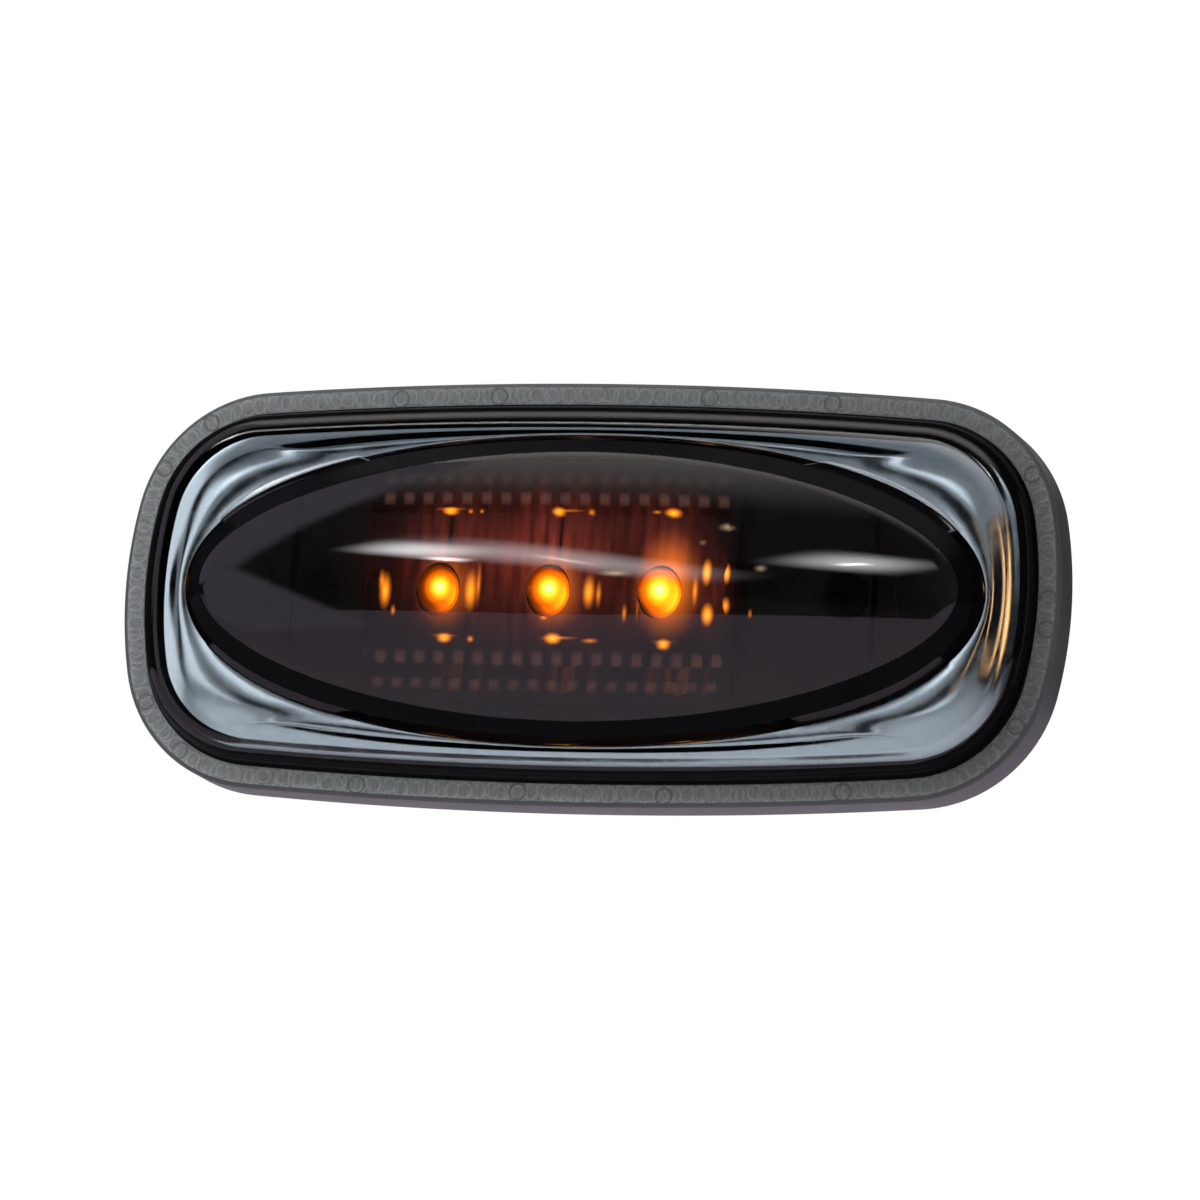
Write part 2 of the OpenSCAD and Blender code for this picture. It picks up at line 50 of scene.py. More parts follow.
def direction(azimuth, elevation):
    """The way from the lamp to a point round it and above it, in degrees."""
    a, e = radians(azimuth), radians(elevation)
    return Vector((sin(a) * cos(e), -cos(a) * cos(e), sin(e)))


towards_camera = direction(photo_azimuth, photo_elevation)
look = (-towards_camera).to_track_quat("-Z", "Y") @ Quaternion((0, 0, 1), photo_roll)
aim = flange_middle + look @ photo_shift

bpy.ops.object.select_all(action="DESELECT")
bpy.ops.object.camera_add(location=aim + towards_camera * photo_distance)
camera = bpy.context.object
camera.name = "photo_camera"
camera.rotation_mode = "QUATERNION"
camera.rotation_quaternion = look
camera.data.lens = 310.9
camera.data.sensor_width = 36
camera.data.clip_start = 0.05
camera.data.clip_end = 200
bpy.context.scene.camera = camera
bpy.context.scene.view_settings.view_transform = "Standard"


def add(tree, kind, feeds=(), **settings):
    """Adds a node to a tree, with its settings, and feeds its inputs with values or other sockets."""
    made = tree.nodes.new(kind)
    for key, value in settings.items():
        setattr(made, key, value)
    for key, value in dict(feeds).items():
        if isinstance(value, bpy.types.NodeSocket):
            tree.links.new(value, made.inputs[key])
        else:
            made.inputs[key].default_value = value
    return made


def calc(tree, operation, *values, **settings):
    """A math node on numbers or sockets, and its result."""
    return add(tree, "ShaderNodeMath", dict(enumerate(values)), operation=operation, **settings).outputs[0]


def ray_kind(tree, kind):
    """1 for one kind of ray, or else 0. A ray that glass sends on counts as glossy too, so it is taken out."""
    rays = add(tree, "ShaderNodeLightPath").outputs
    if kind != "gloss":
        return rays[{"camera": "Is Camera Ray", "through": "Is Transmission Ray"}[kind]]
    return calc(tree, "SUBTRACT", rays["Is Glossy Ray"], rays["Is Transmission Ray"], use_clamp=True)


def blended(tree, rest, **levels):
    """The level of the kind of ray that arrives, or else the rest's."""
    total = rest
    for kind, level in levels.items():
        total = calc(tree, "MULTIPLY_ADD", ray_kind(tree, kind), level - rest, total)
    return total


def new_finish(name, **plain):
    """A material with plain values on its Principled sockets, where _ stands for a space in a name."""
    finish = bpy.data.materials.new(name)
    finish.use_nodes = True
    shader = finish.node_tree.nodes["Principled BSDF"]
    for key, value in plain.items():
        shader.inputs[key.replace("_", " ")].default_value = value
    return finish, finish.node_tree, shader


def wire(tree, shader, **feeds):
    """Links sockets to the Principled shader's inputs, where _ stands for a space in a name."""
    for key, socket in feeds.items():
        tree.links.new(socket, shader.inputs[key.replace("_", " ")])


def glowing(tree, share, rest, colour, strength=1.0):
    """Blends a shader with one that only gives off light."""
    light = add(tree, "ShaderNodeEmission", {"Color": (*colour, 1), "Strength": strength})
    return add(tree, "ShaderNodeMixShader", {"Fac": share, 1: rest.outputs[0], 2: light.outputs[0]}).outputs[0]


surround = bpy.data.worlds.new("white_surround")
bpy.context.scene.world = surround
surround.use_nodes = True
surround.node_tree.nodes.clear()
level = blended(surround.node_tree, 0.4, camera=1.0, gloss=0.05, through=0.5)
backdrop = add(surround.node_tree, "ShaderNodeBackground", {"Color": (1, 1, 1, 1), "Strength": level})
add(surround.node_tree, "ShaderNodeOutputWorld", {"Surface": backdrop.outputs[0]})

floor_z, floor_r = -0.42, 40
pale_floor, tree, shader = new_finish("pale_floor", Base_Color=(0.82, 0.82, 0.82, 1), Roughness=0.7,
                                      Emission_Color=(1, 1, 1, 1))
wire(tree, shader, Emission_Strength=blended(tree, 0, camera=0.3, through=0.1))
dimmed = glowing(tree, blended(tree, 0, gloss=0.8), shader, (0.55, 0.46, 0.58))
tree.links.new(dimmed, tree.nodes["Material Output"].inputs["Surface"])
bpy.ops.mesh.primitive_circle_add(vertices=96, radius=floor_r, fill_type="NGON", location=(0, 0, floor_z))
floor = bpy.context.object
floor.name = "floor"
floor.data.materials.append(pale_floor)


def softbox(name, azimuth, elevation, distance, size, watts, colour=(1, 1, 1), through=False):
    """An area light that faces the lamp. The lens shows it only if through is set."""
    bpy.ops.object.light_add(type="AREA", location=flange_middle + direction(azimuth, elevation) * distance)
    lamp = bpy.context.object
    lamp.name = name
    lamp.rotation_mode = "QUATERNION"
    lamp.rotation_quaternion = direction(azimuth, elevation).to_track_quat("Z", "Y")
    lamp.data.shape = "RECTANGLE"
    lamp.data.size, lamp.data.size_y = size
    lamp.data.energy = watts
    lamp.data.color = colour
    lamp.visible_camera = lamp.visible_glossy = False
    lamp.visible_transmission = through


softbox("overhead_softbox", -10, 62, 1.6, (2.2, 1.2), 26)
softbox("key_softbox", -62, 24, 0.9, (0.7, 0.9), 7)
softbox("warm_lamp", 42, 10, 1.8, (0.16, 0.4), 0.8, (1, 0.55, 0.25), through=True)


def own_place(tree):
    """The point on the piece, in its own coordinates."""
    return add(tree, "ShaderNodeTexCoord").outputs["Object"]


def xyz(tree, triple):
    """The three parts of a vector."""
    return add(tree, "ShaderNodeSeparateXYZ", {0: triple}).outputs


def ranged(tree, value, low, high, start=0.0, end=1.0, **settings):
    """Goes from low to high as the value goes from start to end."""
    return add(tree, "ShaderNodeMapRange", {"Value": value, "From Min": start, "From Max": end, "To Min": low,
                                            "To Max": high}, **settings).outputs[0]


def reflection_card(ray, name, azimuth, elevation, size, tilt, colour, strength, soft, distance):
    """A card that shows only in reflections: dark cloth or a soft lamp, with edges that fade out. Its size
    is in degrees as the lamp sees it, and a tilt below 0 puts its left end up."""
    bpy.ops.object.select_all(action="DESELECT")
    away = direction(azimuth, elevation)
    bpy.ops.mesh.primitive_plane_add(size=1)
    card = bpy.context.object
    card.name = name
    card.rotation_mode = "QUATERNION"
    degree = distance * tan(radians(1))
    card.scale = (size[0] * degree, size[1] * degree, 1)
    card.rotation_quaternion = away.to_track_quat("Z", "Y") @ Quaternion((0, 0, 1), radians(tilt))
    card.location = flange_middle + away * distance
    finish = bpy.data.materials.new(name + "_finish")
    finish.use_nodes = True
    tree = finish.node_tree
    tree.nodes.clear()
    shown = ray_kind(tree, ray)
    for at, fade in zip(xyz(tree, own_place(tree)), soft):
        inside = ranged(tree, calc(tree, "ABSOLUTE", at), 1.0, 0.0, 0.5 * (1 - fade), 0.5,
                        interpolation_type="SMOOTHSTEP")
        shown = calc(tree, "MULTIPLY", shown, inside)
    mixed = glowing(tree, shown, add(tree, "ShaderNodeBsdfTransparent"), colour, strength)
    add(tree, "ShaderNodeOutputMaterial", {"Surface": mixed})
    card.data.materials.append(finish)


white, bulb, cloth, pale_wall = (1, 1, 1), (1, 0.99, 1), (0.012, 0.013, 0.016), (0.66, 0.6, 0.72)
# The lamp's back sees a soft light above it and one at its side. The outer gloss sees a dark doorway in
# front, pale walls above it and at its left, a long soft lamp and some small ones.
for card in (
    ("back_light", 170, 38, (80, 34), 0, white, 0.9, (0.6, 0.8), 3.0),
    ("side_light", 118, 14, (22, 60), 0, white, 1.2, (0.7, 0.6), 3.0),
    ("ceiling_glow", -16, 62, (100, 60), 0, (1, 0.95, 0.93), 1.9, (0.6, 1.0), 3.2),
    ("left_wall", -53, 33, (34, 56), 9, pale_wall, 1.0, (0.08, 0.2), 3.1),
    ("left_foot", -41, 0.5, (24, 24), 22, pale_wall, 1.0, (0.1, 0.2), 3.1),
    ("dark_doorway", -8, 11.75, (40, 13.5), -18, cloth, 1.0, (0.1, 0.06), 3.0),
    ("long_lamp", -18.5, 18, (25, 7.5), -31, (1, 0.98, 0.98), 5.0, (0.8, 0.95), 2.8),
    ("hot_lamp", -26, 20.5, (9, 5.5), -31, bulb, 14.0, (0.95, 0.9), 2.7),
    ("small_lamp", -3.5, 20, (9, 8), -27, bulb, 9.0, (0.95, 0.95), 2.6),
    ("left_tube", -24.2, 17.6, (3.6, 1.6), -31, bulb, 22.0, (0.9, 0.9), 2.5),
    ("long_tube", -18, 17.2, (7, 1.2), -38, bulb, 10.0, (0.9, 0.9), 2.5),
    ("right_tube", -3.6, 19.4, (2.6, 1.6), 30, bulb, 26.0, (0.9, 0.9), 2.5),
):
    reflection_card("gloss", *card)
# The bezel sees, through the lens, a dark room in front and at the right, a dim ceiling, a bright window
# at the left, soft lamps and two warm ones.
for card in (
    ("dark_front", 4, 7, (56, 19), 0, cloth, 1.0, (0.12, 0.3), 2.5),
    ("dark_right", 65, 8, (90, 44), 0, cloth, 1.0, (0.05, 0.3), 2.5),
    ("dim_ceiling", -17, 76, (130, 60), 0, (0.42, 0.45, 0.47), 1.0, (0.2, 0.6), 2.5),
    ("left_window", -54, 12, (52, 64), 0, white, 2.1, (0.5, 0.6), 2.4),
    ("left_sheen", -37, 26, (30, 24), 0, white, 3.2, (0.9, 0.9), 2.35),
    ("low_sheen", -32, -4, (22, 9), 0, white, 3.0, (0.9, 0.9), 2.3),
    ("top_sheen", -3, 30, (36, 22), 0, white, 2.4, (0.7, 0.7), 2.35),
    ("right_sheen", -1, -6, (28, 9), 0, white, 2.4, (0.8, 0.8), 2.3),
    ("warm_strip", 1, 8, (3, 10), 0, (1, 0.5, 0.2), 7.0, (0.8, 0.5), 2.2),
    ("warm_window", 36, 9, (5, 26), 0, (1, 0.5, 0.18), 8.0, (0.8, 0.5), 2.2),
):
    reflection_card("through", *card)


# ---- Rear housing: one black moulding in glass-filled nylon, with a flange that the lens is glued to,
# a tub that passes through the panel, two stud bosses and the plug socket's shroud. It comes out of
# its mould with a fine spark-eroded grain and slightly rounded edges.
def take_up(piece):
    """Selects one piece alone, to be worked on."""
    bpy.ops.object.select_all(action="DESELECT")
    piece.select_set(True)
    bpy.context.view_layer.objects.active = piece


def merge_points(reach):
    """Merges the points of the piece that is worked on where they are closer than this."""
    bpy.ops.object.mode_set(mode="EDIT")
    bpy.ops.mesh.select_all(action="SELECT")
    bpy.ops.mesh.remove_doubles(threshold=reach)


weld_reach, sliver = 0.003 * mm, 0.001 * mm
flat_turn, sharp_turn, smooth_turn = radians(0.4), radians(30), radians(38)


def worked_copy(node, name, edge_r):
    """A copy of a CAD piece with its triangles welded and any sharp edges rounded, to stand for it."""
    piece = bpy.data.objects.new(name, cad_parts[node].data.copy())
    bpy.context.scene.collection.objects.link(piece)
    take_up(piece)
    bpy.ops.mesh.customdata_custom_splitnormals_clear()
    piece.data.materials.clear()
    merge_points(weld_reach)
    bpy.ops.mesh.dissolve_limited(angle_limit=flat_turn)
    bpy.ops.object.mode_set(mode="OBJECT")
    if edge_r:
        rounding = piece.modifiers.new("rounded_edges", "BEVEL")
        rounding.width = edge_r
        rounding.segments = 2
        rounding.limit_method = "ANGLE"
        rounding.angle_limit = sharp_turn
        rounding.use_clamp_overlap = True
        bpy.ops.object.modifier_apply(modifier=rounding.name)
        merge_points(sliver)
        bpy.ops.object.mode_set(mode="OBJECT")
    bpy.ops.object.shade_smooth_by_angle(angle=smooth_turn)
    return piece


def seated(piece, finish, node):
    """Gives a finished piece its material and its place on the lamp, for the CAD node that it stands for."""
    if finish:
        piece.data.materials.append(finish)
    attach(piece, "root")
    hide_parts(node)


def noise(tree, scale, detail, place=None, **more):
    """A noise pattern over the piece's own coordinates, or over another place."""
    feeds = {"Vector": place if place is not None else own_place(tree), "Scale": scale, "Detail": detail}
    return add(tree, "ShaderNodeTexNoise", {**feeds, **more}).outputs["Fac"]


def bumped(tree, height, strength, depth):
    """The normals of a surface that a height pattern raises."""
    return add(tree, "ShaderNodeBump", {"Strength": strength, "Distance": depth, "Height": height}).outputs[0]


def new_group(name, inputs, outputs):
    """An empty node group with named inputs and outputs, and its two end nodes."""
    tree = bpy.data.node_groups.new(name, "ShaderNodeTree")
    for label, kind, value in inputs:
        tree.interface.new_socket(label, in_out="INPUT", socket_type=kind).default_value = value
    for label, kind in outputs:
        tree.interface.new_socket(label, in_out="OUTPUT", socket_type=kind)
    return tree, add(tree, "NodeGroupInput").outputs, add(tree, "NodeGroupOutput").inputs


moulded_grain, given, made = new_group("moulded_grain", [
    ("Color", "NodeSocketColor", (0.02, 0.02, 0.02, 1)),
    ("Grain size", "NodeSocketFloat", 1.0),
    ("Blotch", "NodeSocketFloat", 0.3),
    ("Roughness", "NodeSocketFloat", 0.5),
], [("Color", "NodeSocketColor"), ("Roughness", "NodeSocketFloat"), ("Height", "NodeSocketFloat")])
grain = noise(moulded_grain, calc(moulded_grain, "DIVIDE", 9000.0, given["Grain size"]), 2.0, Roughness=0.6)
lift = ranged(moulded_grain, noise(moulded_grain, 90.0, 4.0), -1.0, 1.0, 0.3, 0.7)
spread = calc(moulded_grain, "MULTIPLY", lift, given["Blotch"])
tinted = add(moulded_grain, "ShaderNodeVectorMath",
             {0: given["Color"], "Scale": calc(moulded_grain, "ADD", spread, 1.0)}, operation="SCALE").outputs[0]
rub = calc(moulded_grain, "MULTIPLY_ADD", spread, 0.25, given["Roughness"])
for socket, label in ((tinted, "Color"), (rub, "Roughness"), (grain, "Height")):
    moulded_grain.links.new(socket, made[label])


def grained(tree, shader, colour, size, blotch, roughness, depth):
    """Feeds a shader from the moulded grain group: colour, roughness and a fine bump."""
    group = add(tree, "ShaderNodeGroup",
                {"Color": colour, "Grain size": size, "Blotch": blotch, "Roughness": roughness},
                node_tree=moulded_grain)
    wire(tree, shader, Base_Color=group.outputs["Color"], Roughness=group.outputs["Roughness"],
         Normal=bumped(tree, group.outputs["Height"], 0.6, depth))
    return group


housing_plastic, tree, shader = new_finish("housing_plastic", Specular_IOR_Level=0.3)
grained(tree, shader, (0.013, 0.013, 0.014, 1), 1.0, 0.3, 0.46, 0.02 * mm)
rear_housing = worked_copy("housing", "rear_housing", 0.25 * mm)
seated(rear_housing, housing_plastic, "housing")

# ---- Mounting gasket: a ring of closed-cell foam rubber, die-cut, stuck to the back of the flange. Its
# cut edge shows open cells, and it seals the lamp to the body panel.
gasket_foam, tree, shader = new_finish("gasket_foam", Specular_IOR_Level=0.25, Roughness=0.92)


def between(tree, share, first, second):
    """A colour between two others."""
    return add(tree, "ShaderNodeMix", {0: share, 6: first, 7: second}, data_type="RGBA").outputs[2]


def cells(tree, scale, randomness):
    """How far each point lies from the middle of its cell."""
    return add(tree, "ShaderNodeTexVoronoi", {"Vector": own_place(tree), "Scale": scale,
                                              "Randomness": randomness}).outputs["Distance"]


open_cells = cells(tree, 2400.0, 1.0)
# Painted shade: the middles of the open cells are darker, as shade falls in them.
painted_pit_shade = ranged(tree, open_cells, 1.0, 0.0, 0.1, 0.6)
wire(tree, shader, Base_Color=between(tree, painted_pit_shade, (0.045, 0.045, 0.045, 1), (0.012, 0.012, 0.012, 1)),
     Normal=bumped(tree, open_cells, 0.8, 0.12 * mm))
foam_ring = worked_copy("mounting_gasket", "foam_ring", 0.2 * mm)
seated(foam_ring, gasket_foam, "mounting_gasket")


# ---- Breather patch: a disc of white porous membrane, welded flush over the vent hole in the tub's
# back. It lets air through and keeps water out.
def finished(node, finish):
    """Gives a CAD node that stays as it is its material."""
    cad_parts[node].material_slots[0].material = finish


vent_membrane, tree, shader = new_finish("vent_membrane", Roughness=0.85)
fibres = noise(tree, 5200.0, 5.0, Roughness=0.7)
height = calc(tree, "ADD", fibres, cells(tree, 1100.0, 0.0))
wire(tree, shader, Base_Color=between(tree, fibres, (0.62, 0.62, 0.6, 1), (0.86, 0.86, 0.84, 1)),
     Normal=bumped(tree, height, 0.5, 0.06 * mm))
finished("breather_patch", vent_membrane)

# ---- Sealant bead: grey silicone, laid as one ring in the groove of the housing's flange. It glues the
# lens to the housing and keeps water out.
sealant, tree, shader = new_finish("sealant")
grained(tree, shader, (0.25, 0.25, 0.26, 1), 6.0, 0.15, 0.42, 0.08 * mm)
finished("sealant_bead", sealant)

# ---- Mounting studs: two M5 steel studs with rolled threads, zinc plated with a yellow passivate. Their
# hexagon heads are moulded into the housing's bosses, and a plain shoulder fills each hole.
stud_x = 50 * mm
thread_root_r, thread_pitch, thread_turns, thread_seam = 2.02 * mm, 0.8 * mm, 28, 0.002 * mm
thread_profile = ((0.43, 0.36), (0.05, 0.08), (-0.05, 0.08), (-0.43, 0.28))
shank_tip, shank_top = 19 * mm, -0.4 * mm
head_r = 7 / 3 ** 0.5


def one_point(name, at):
    """A new piece of one selected point, in edit mode: what is extruded or spun starts from it."""
    bpy.ops.object.select_all(action="DESELECT")
    bpy.ops.mesh.primitive_plane_add(size=0.001)
    piece = bpy.context.object
    piece.name = name
    bpy.ops.object.mode_set(mode="EDIT")
    bpy.ops.mesh.select_mode(type="VERT")
    bpy.ops.mesh.merge(type="CENTER")
    bpy.ops.transform.translate(value=at)
    return piece


def apply_all(piece):
    """Applies a piece's modifiers in turn."""
    bpy.context.view_layer.objects.active = piece
    for modifier in list(piece.modifiers):
        bpy.ops.object.modifier_apply(modifier=modifier.name)


def cut_flat(at, outwards):
    """Cuts off what lies beyond a plane and closes the cut."""
    bpy.ops.mesh.select_all(action="SELECT")
    bpy.ops.mesh.bisect(plane_co=at, plane_no=outwards, clear_outer=True, use_fill=True, threshold=sliver)


stud = one_point("mounting_stud_1", (thread_root_r, shank_top - 2 * thread_pitch, 0))
for across, along in thread_profile:
    bpy.ops.mesh.extrude_vertices_move(TRANSFORM_OT_translate={"value": (across * mm, along * mm, 0)})
bpy.ops.object.mode_set(mode="OBJECT")
helix = stud.modifiers.new("rolled_thread", "SCREW")
helix.axis = "Y"
helix.steps = helix.render_steps = 28
helix.screw_offset = thread_pitch
helix.iterations = thread_turns
helix.use_merge_vertices = True
helix.merge_threshold = thread_seam
apply_all(stud)
merge_points(thread_seam)
cut_flat((0, shank_tip, 0), (0, 1, 0))
cut_flat((0, shank_top, 0), (0, -1, 0))


def pick(piece, kind, test):
    """Selects the vertices, edges or faces of a piece in edit mode whose every point passes the test."""
    bpy.ops.mesh.select_mode(type=kind)
    bpy.ops.mesh.select_all(action="DESELECT")
    shape = bmesh.from_edit_mesh(piece.data)
    for part in {"VERT": shape.verts, "EDGE": shape.edges, "FACE": shape.faces}[kind]:
        points = [part] if kind == "VERT" else part.verts
        if all(test(point.co) for point in points):
            part.select_set(True)
    bmesh.update_edit_mesh(piece.data)
    return shape


def face_outwards():
    """Turns every face of the piece in edit mode outwards, and ends the edit."""
    bpy.ops.mesh.select_all(action="SELECT")
    bpy.ops.mesh.normals_make_consistent(inside=False)
    bpy.ops.object.mode_set(mode="OBJECT")


# The tip narrows in three steps
for depth, share in ((0.9, 0.95), (0.6, 0.95), (0.3, 0.94)):
    pick(stud, "VERT", lambda co: co.y > shank_tip - depth * mm)
    bpy.ops.transform.resize(value=(share, 1, share), center_override=(0, shank_tip, 0))
face_outwards()

# The round shoulder and the hexagon head
for vertices, r, back, front in ((48, 2.8, 0, 4.2), (6, head_r, 3.7, 5.9)):
    bpy.ops.object.select_all(action="DESELECT")
    bpy.ops.mesh.primitive_cylinder_add(vertices=vertices, radius=r * mm, depth=(front - back) * mm,
                                        location=(0, -(front + back) / 2 * mm, 0), rotation=(pi / 2, 0, 0))
    bpy.ops.object.transform_apply()
    collar = bpy.context.object
    softened = collar.modifiers.new("softened", "BEVEL")
    softened.width = 0.2 * mm
    softened.segments = 2
    apply_all(collar)
    joined = stud.modifiers.new("joined", "BOOLEAN")
    joined.operation = "UNION"
    joined.object = collar
    apply_all(stud)
    bpy.data.objects.remove(collar)
take_up(stud)
merge_points(sliver)
bpy.ops.object.mode_set(mode="OBJECT")
bpy.ops.object.shade_smooth_by_angle(angle=radians(40))

yellow_zinc, tree, shader = new_finish("yellow_zinc", Metallic=1.0)
film = noise(tree, 420.0, 4.0, Distortion=0.8)


def ramp(tree, share, *stops):
    """A colour that runs through stops, each a place from 0 to 1 and a colour."""
    node = add(tree, "ShaderNodeValToRGB", {"Fac": share})
    elements = node.color_ramp.elements
    elements[0].color, elements[1].color = (*stops[0][1], 1), (*stops[-1][1], 1)
    for at, colour in stops[1:-1]:
        elements.new(at).color = (*colour, 1)
    return node.outputs[0]


tints = ramp(tree, film, (0, (0.52, 0.42, 0.2)), (0.55, (0.6, 0.46, 0.3)), (1, (0.66, 0.62, 0.46)))
wire(tree, shader, Base_Color=tints, Roughness=ranged(tree, film, 0.24, 0.46))


def copied(piece, name):
    """A copy of a piece, with its own mesh."""
    twin = piece.copy()
    twin.data = piece.data.copy()
    twin.name = name
    bpy.context.scene.collection.objects.link(twin)
    return twin


def move_along(piece, x):
    """Moves a piece along the lamp, within its mesh."""
    take_up(piece)
    bpy.ops.transform.translate(value=(x, 0, 0))
    bpy.ops.object.transform_apply()


second_stud = copied(stud, "mounting_stud_2")
for piece, x, node in ((stud, -stud_x, "mounting_stud_left"), (second_stud, stud_x, "mounting_stud_right")):
    move_along(piece, x)
    seated(piece, yellow_zinc, node)

# ---- Terminal blades: two tin-plated brass blades, 2.8 by 0.8 mm, stamped, pressed through the tub's back
# and soldered to the board. They stand in the plug socket.
tinned_brass, tree, shader = new_finish("tinned_brass", Metallic=1.0)
drawn = add(tree, "ShaderNodeMapping", {"Vector": own_place(tree), "Scale": (9000, 300, 9000)}).outputs[0]
lines = noise(tree, 1.0, 3.0, drawn)
wire(tree, shader, Base_Color=between(tree, lines, (0.52, 0.51, 0.48, 1), (0.72, 0.71, 0.67, 1)),
     Roughness=ranged(tree, lines, 0.22, 0.42))
for number, node in enumerate(("terminal_blade_positive", "terminal_blade_negative"), 1):
    blade = worked_copy(node, f"blade_{number}", 0.12 * mm)
    seated(blade, tinned_brass, node)

# ---- Circuit board: dark green laminate with copper tracks under the solder mask. The board carries the
# LEDs at its front and the resistors, the diode and the capacitor at its back.
board_laminate, tree, shader = new_finish("board_laminate", Coat_Weight=0.3, Coat_Roughness=0.15)
turned = add(tree, "ShaderNodeMapping", {"Vector": own_place(tree), "Rotation": (pi / 2, 0, 0)}).outputs[0]
tracks = add(tree, "ShaderNodeTexBrick", {
    "Vector": turned, "Scale": 1.0, "Mortar Size": 0.35 * mm, "Brick Width": 9 * mm, "Row Height": 4 * mm,
    "Color1": (0, 0, 0, 1), "Color2": (0, 0, 0, 1), "Mortar": (1, 1, 1, 1)}, offset=0.35).outputs
weave = noise(tree, 1500.0, 3.0)
wire(tree, shader, Base_Color=between(tree, tracks["Color"], (0.012, 0.07, 0.035, 1), (0.04, 0.16, 0.07, 1)),
     Roughness=ranged(tree, weave, 0.35, 0.55),
     Normal=bumped(tree, calc(tree, "ADD", tracks["Fac"], weave), 0.4, 0.04 * mm))
finished("circuit_board", board_laminate)

# ---- Chip parts: two resistors and a diode, moulded in black, and a ceramic capacitor. Each has a tinned
# cap at both ends and is soldered to the board's back.
chip_cap = 0.6
for node, middle_x, length, colour in (
    ("series_resistor_1", -12.4, 6.4, (0.02, 0.02, 0.022, 1)),
    ("series_resistor_2", 3.4, 6.4, (0.02, 0.02, 0.022, 1)),
    ("polarity_diode", 24.0, 4.4, (0.025, 0.025, 0.025, 1)),
    ("filter_capacitor", 24.0, 3.2, (0.42, 0.28, 0.16, 1)),
):
    chip_finish, tree, shader = new_finish(node + "_finish")
    body = grained(tree, shader, colour, 1.5, 0.2, 0.5, 0.015 * mm).outputs["Color"]
    off = calc(tree, "ABSOLUTE", calc(tree, "SUBTRACT", xyz(tree, own_place(tree))["X"], middle_x * mm))
    tinned = calc(tree, "GREATER_THAN", off, (length / 2 - chip_cap) * mm)
    wire(tree, shader, Base_Color=between(tree, tinned, body, (0.7, 0.69, 0.66, 1)), Metallic=tinned)
    finished(node, chip_finish)

# ---- Board screws: two cross-recessed steel screws, black zinc plated. They are driven through the
# reflector and the board into the housing's bosses.
black_zinc, tree, shader = new_finish("black_zinc", Metallic=1.0)
grained(tree, shader, (0.007, 0.007, 0.008, 1), 2.0, 0.4, 0.5, 0.01 * mm)
for node in ("board_screw_left", "board_screw_right"):
    finished(node, black_zinc)

# ---- Reflector: one moulding in smoky metallised plastic that lies on the board. Its trough holds the
# LEDs, with two stepped rows of pillow facets along each long side and flutes at the ends.
# The reflector's emission carries painted light: reflections of the LEDs, a glow round them, scattered light and
# glints.
smoky_metal, tree, shader = new_finish("smoky_metal", Metallic=0.6, Emission_Strength=1.0, Specular_IOR_Level=0.1)
grained(tree, shader, (0.009, 0.007, 0.0075, 1), 2.5, 0.2, 0.22, 0.008 * mm)
flat = add(tree, "ShaderNodeMapping", {"Vector": own_place(tree), "Scale": (1000, 0, 1000)}).outputs[0]
on_plate = xyz(tree, flat)


def vector(tree, operation, *values):
    """A vector math node on numbers, triples or sockets, and its result."""
    return add(tree, "ShaderNodeVectorMath", dict(enumerate(values)), operation=operation).outputs[0]


def scaled(tree, triple, share):
    """A vector or a colour times a number."""
    return add(tree, "ShaderNodeVectorMath", {0: triple, "Scale": share}, operation="SCALE").outputs[0]


def length_of(tree, triple):
    """The length of a vector."""
    return add(tree, "ShaderNodeVectorMath", {0: triple}, operation="LENGTH").outputs["Value"]


def patch(x, z, half_w, half_h, level):
    """A soft oval of painted light on the plate, in mm: full in its middle and nothing at its edge."""
    share = vector(tree, "MULTIPLY", vector(tree, "SUBTRACT", flat, (x, 0, z)), (1 / half_w, 1, 1 / half_h))
    fade = calc(tree, "SUBTRACT", 1.0, length_of(tree, share), use_clamp=True)
    return calc(tree, "MULTIPLY", calc(tree, "MULTIPLY", fade, fade), level)


def summed(values):
    """The sum of some sockets."""
    total = values[0]
    for value in values[1:]:
        total = calc(tree, "ADD", total, value)
    return total


def patches(*places):
    """The light of some patches together."""
    return summed([patch(*place) for place in places])
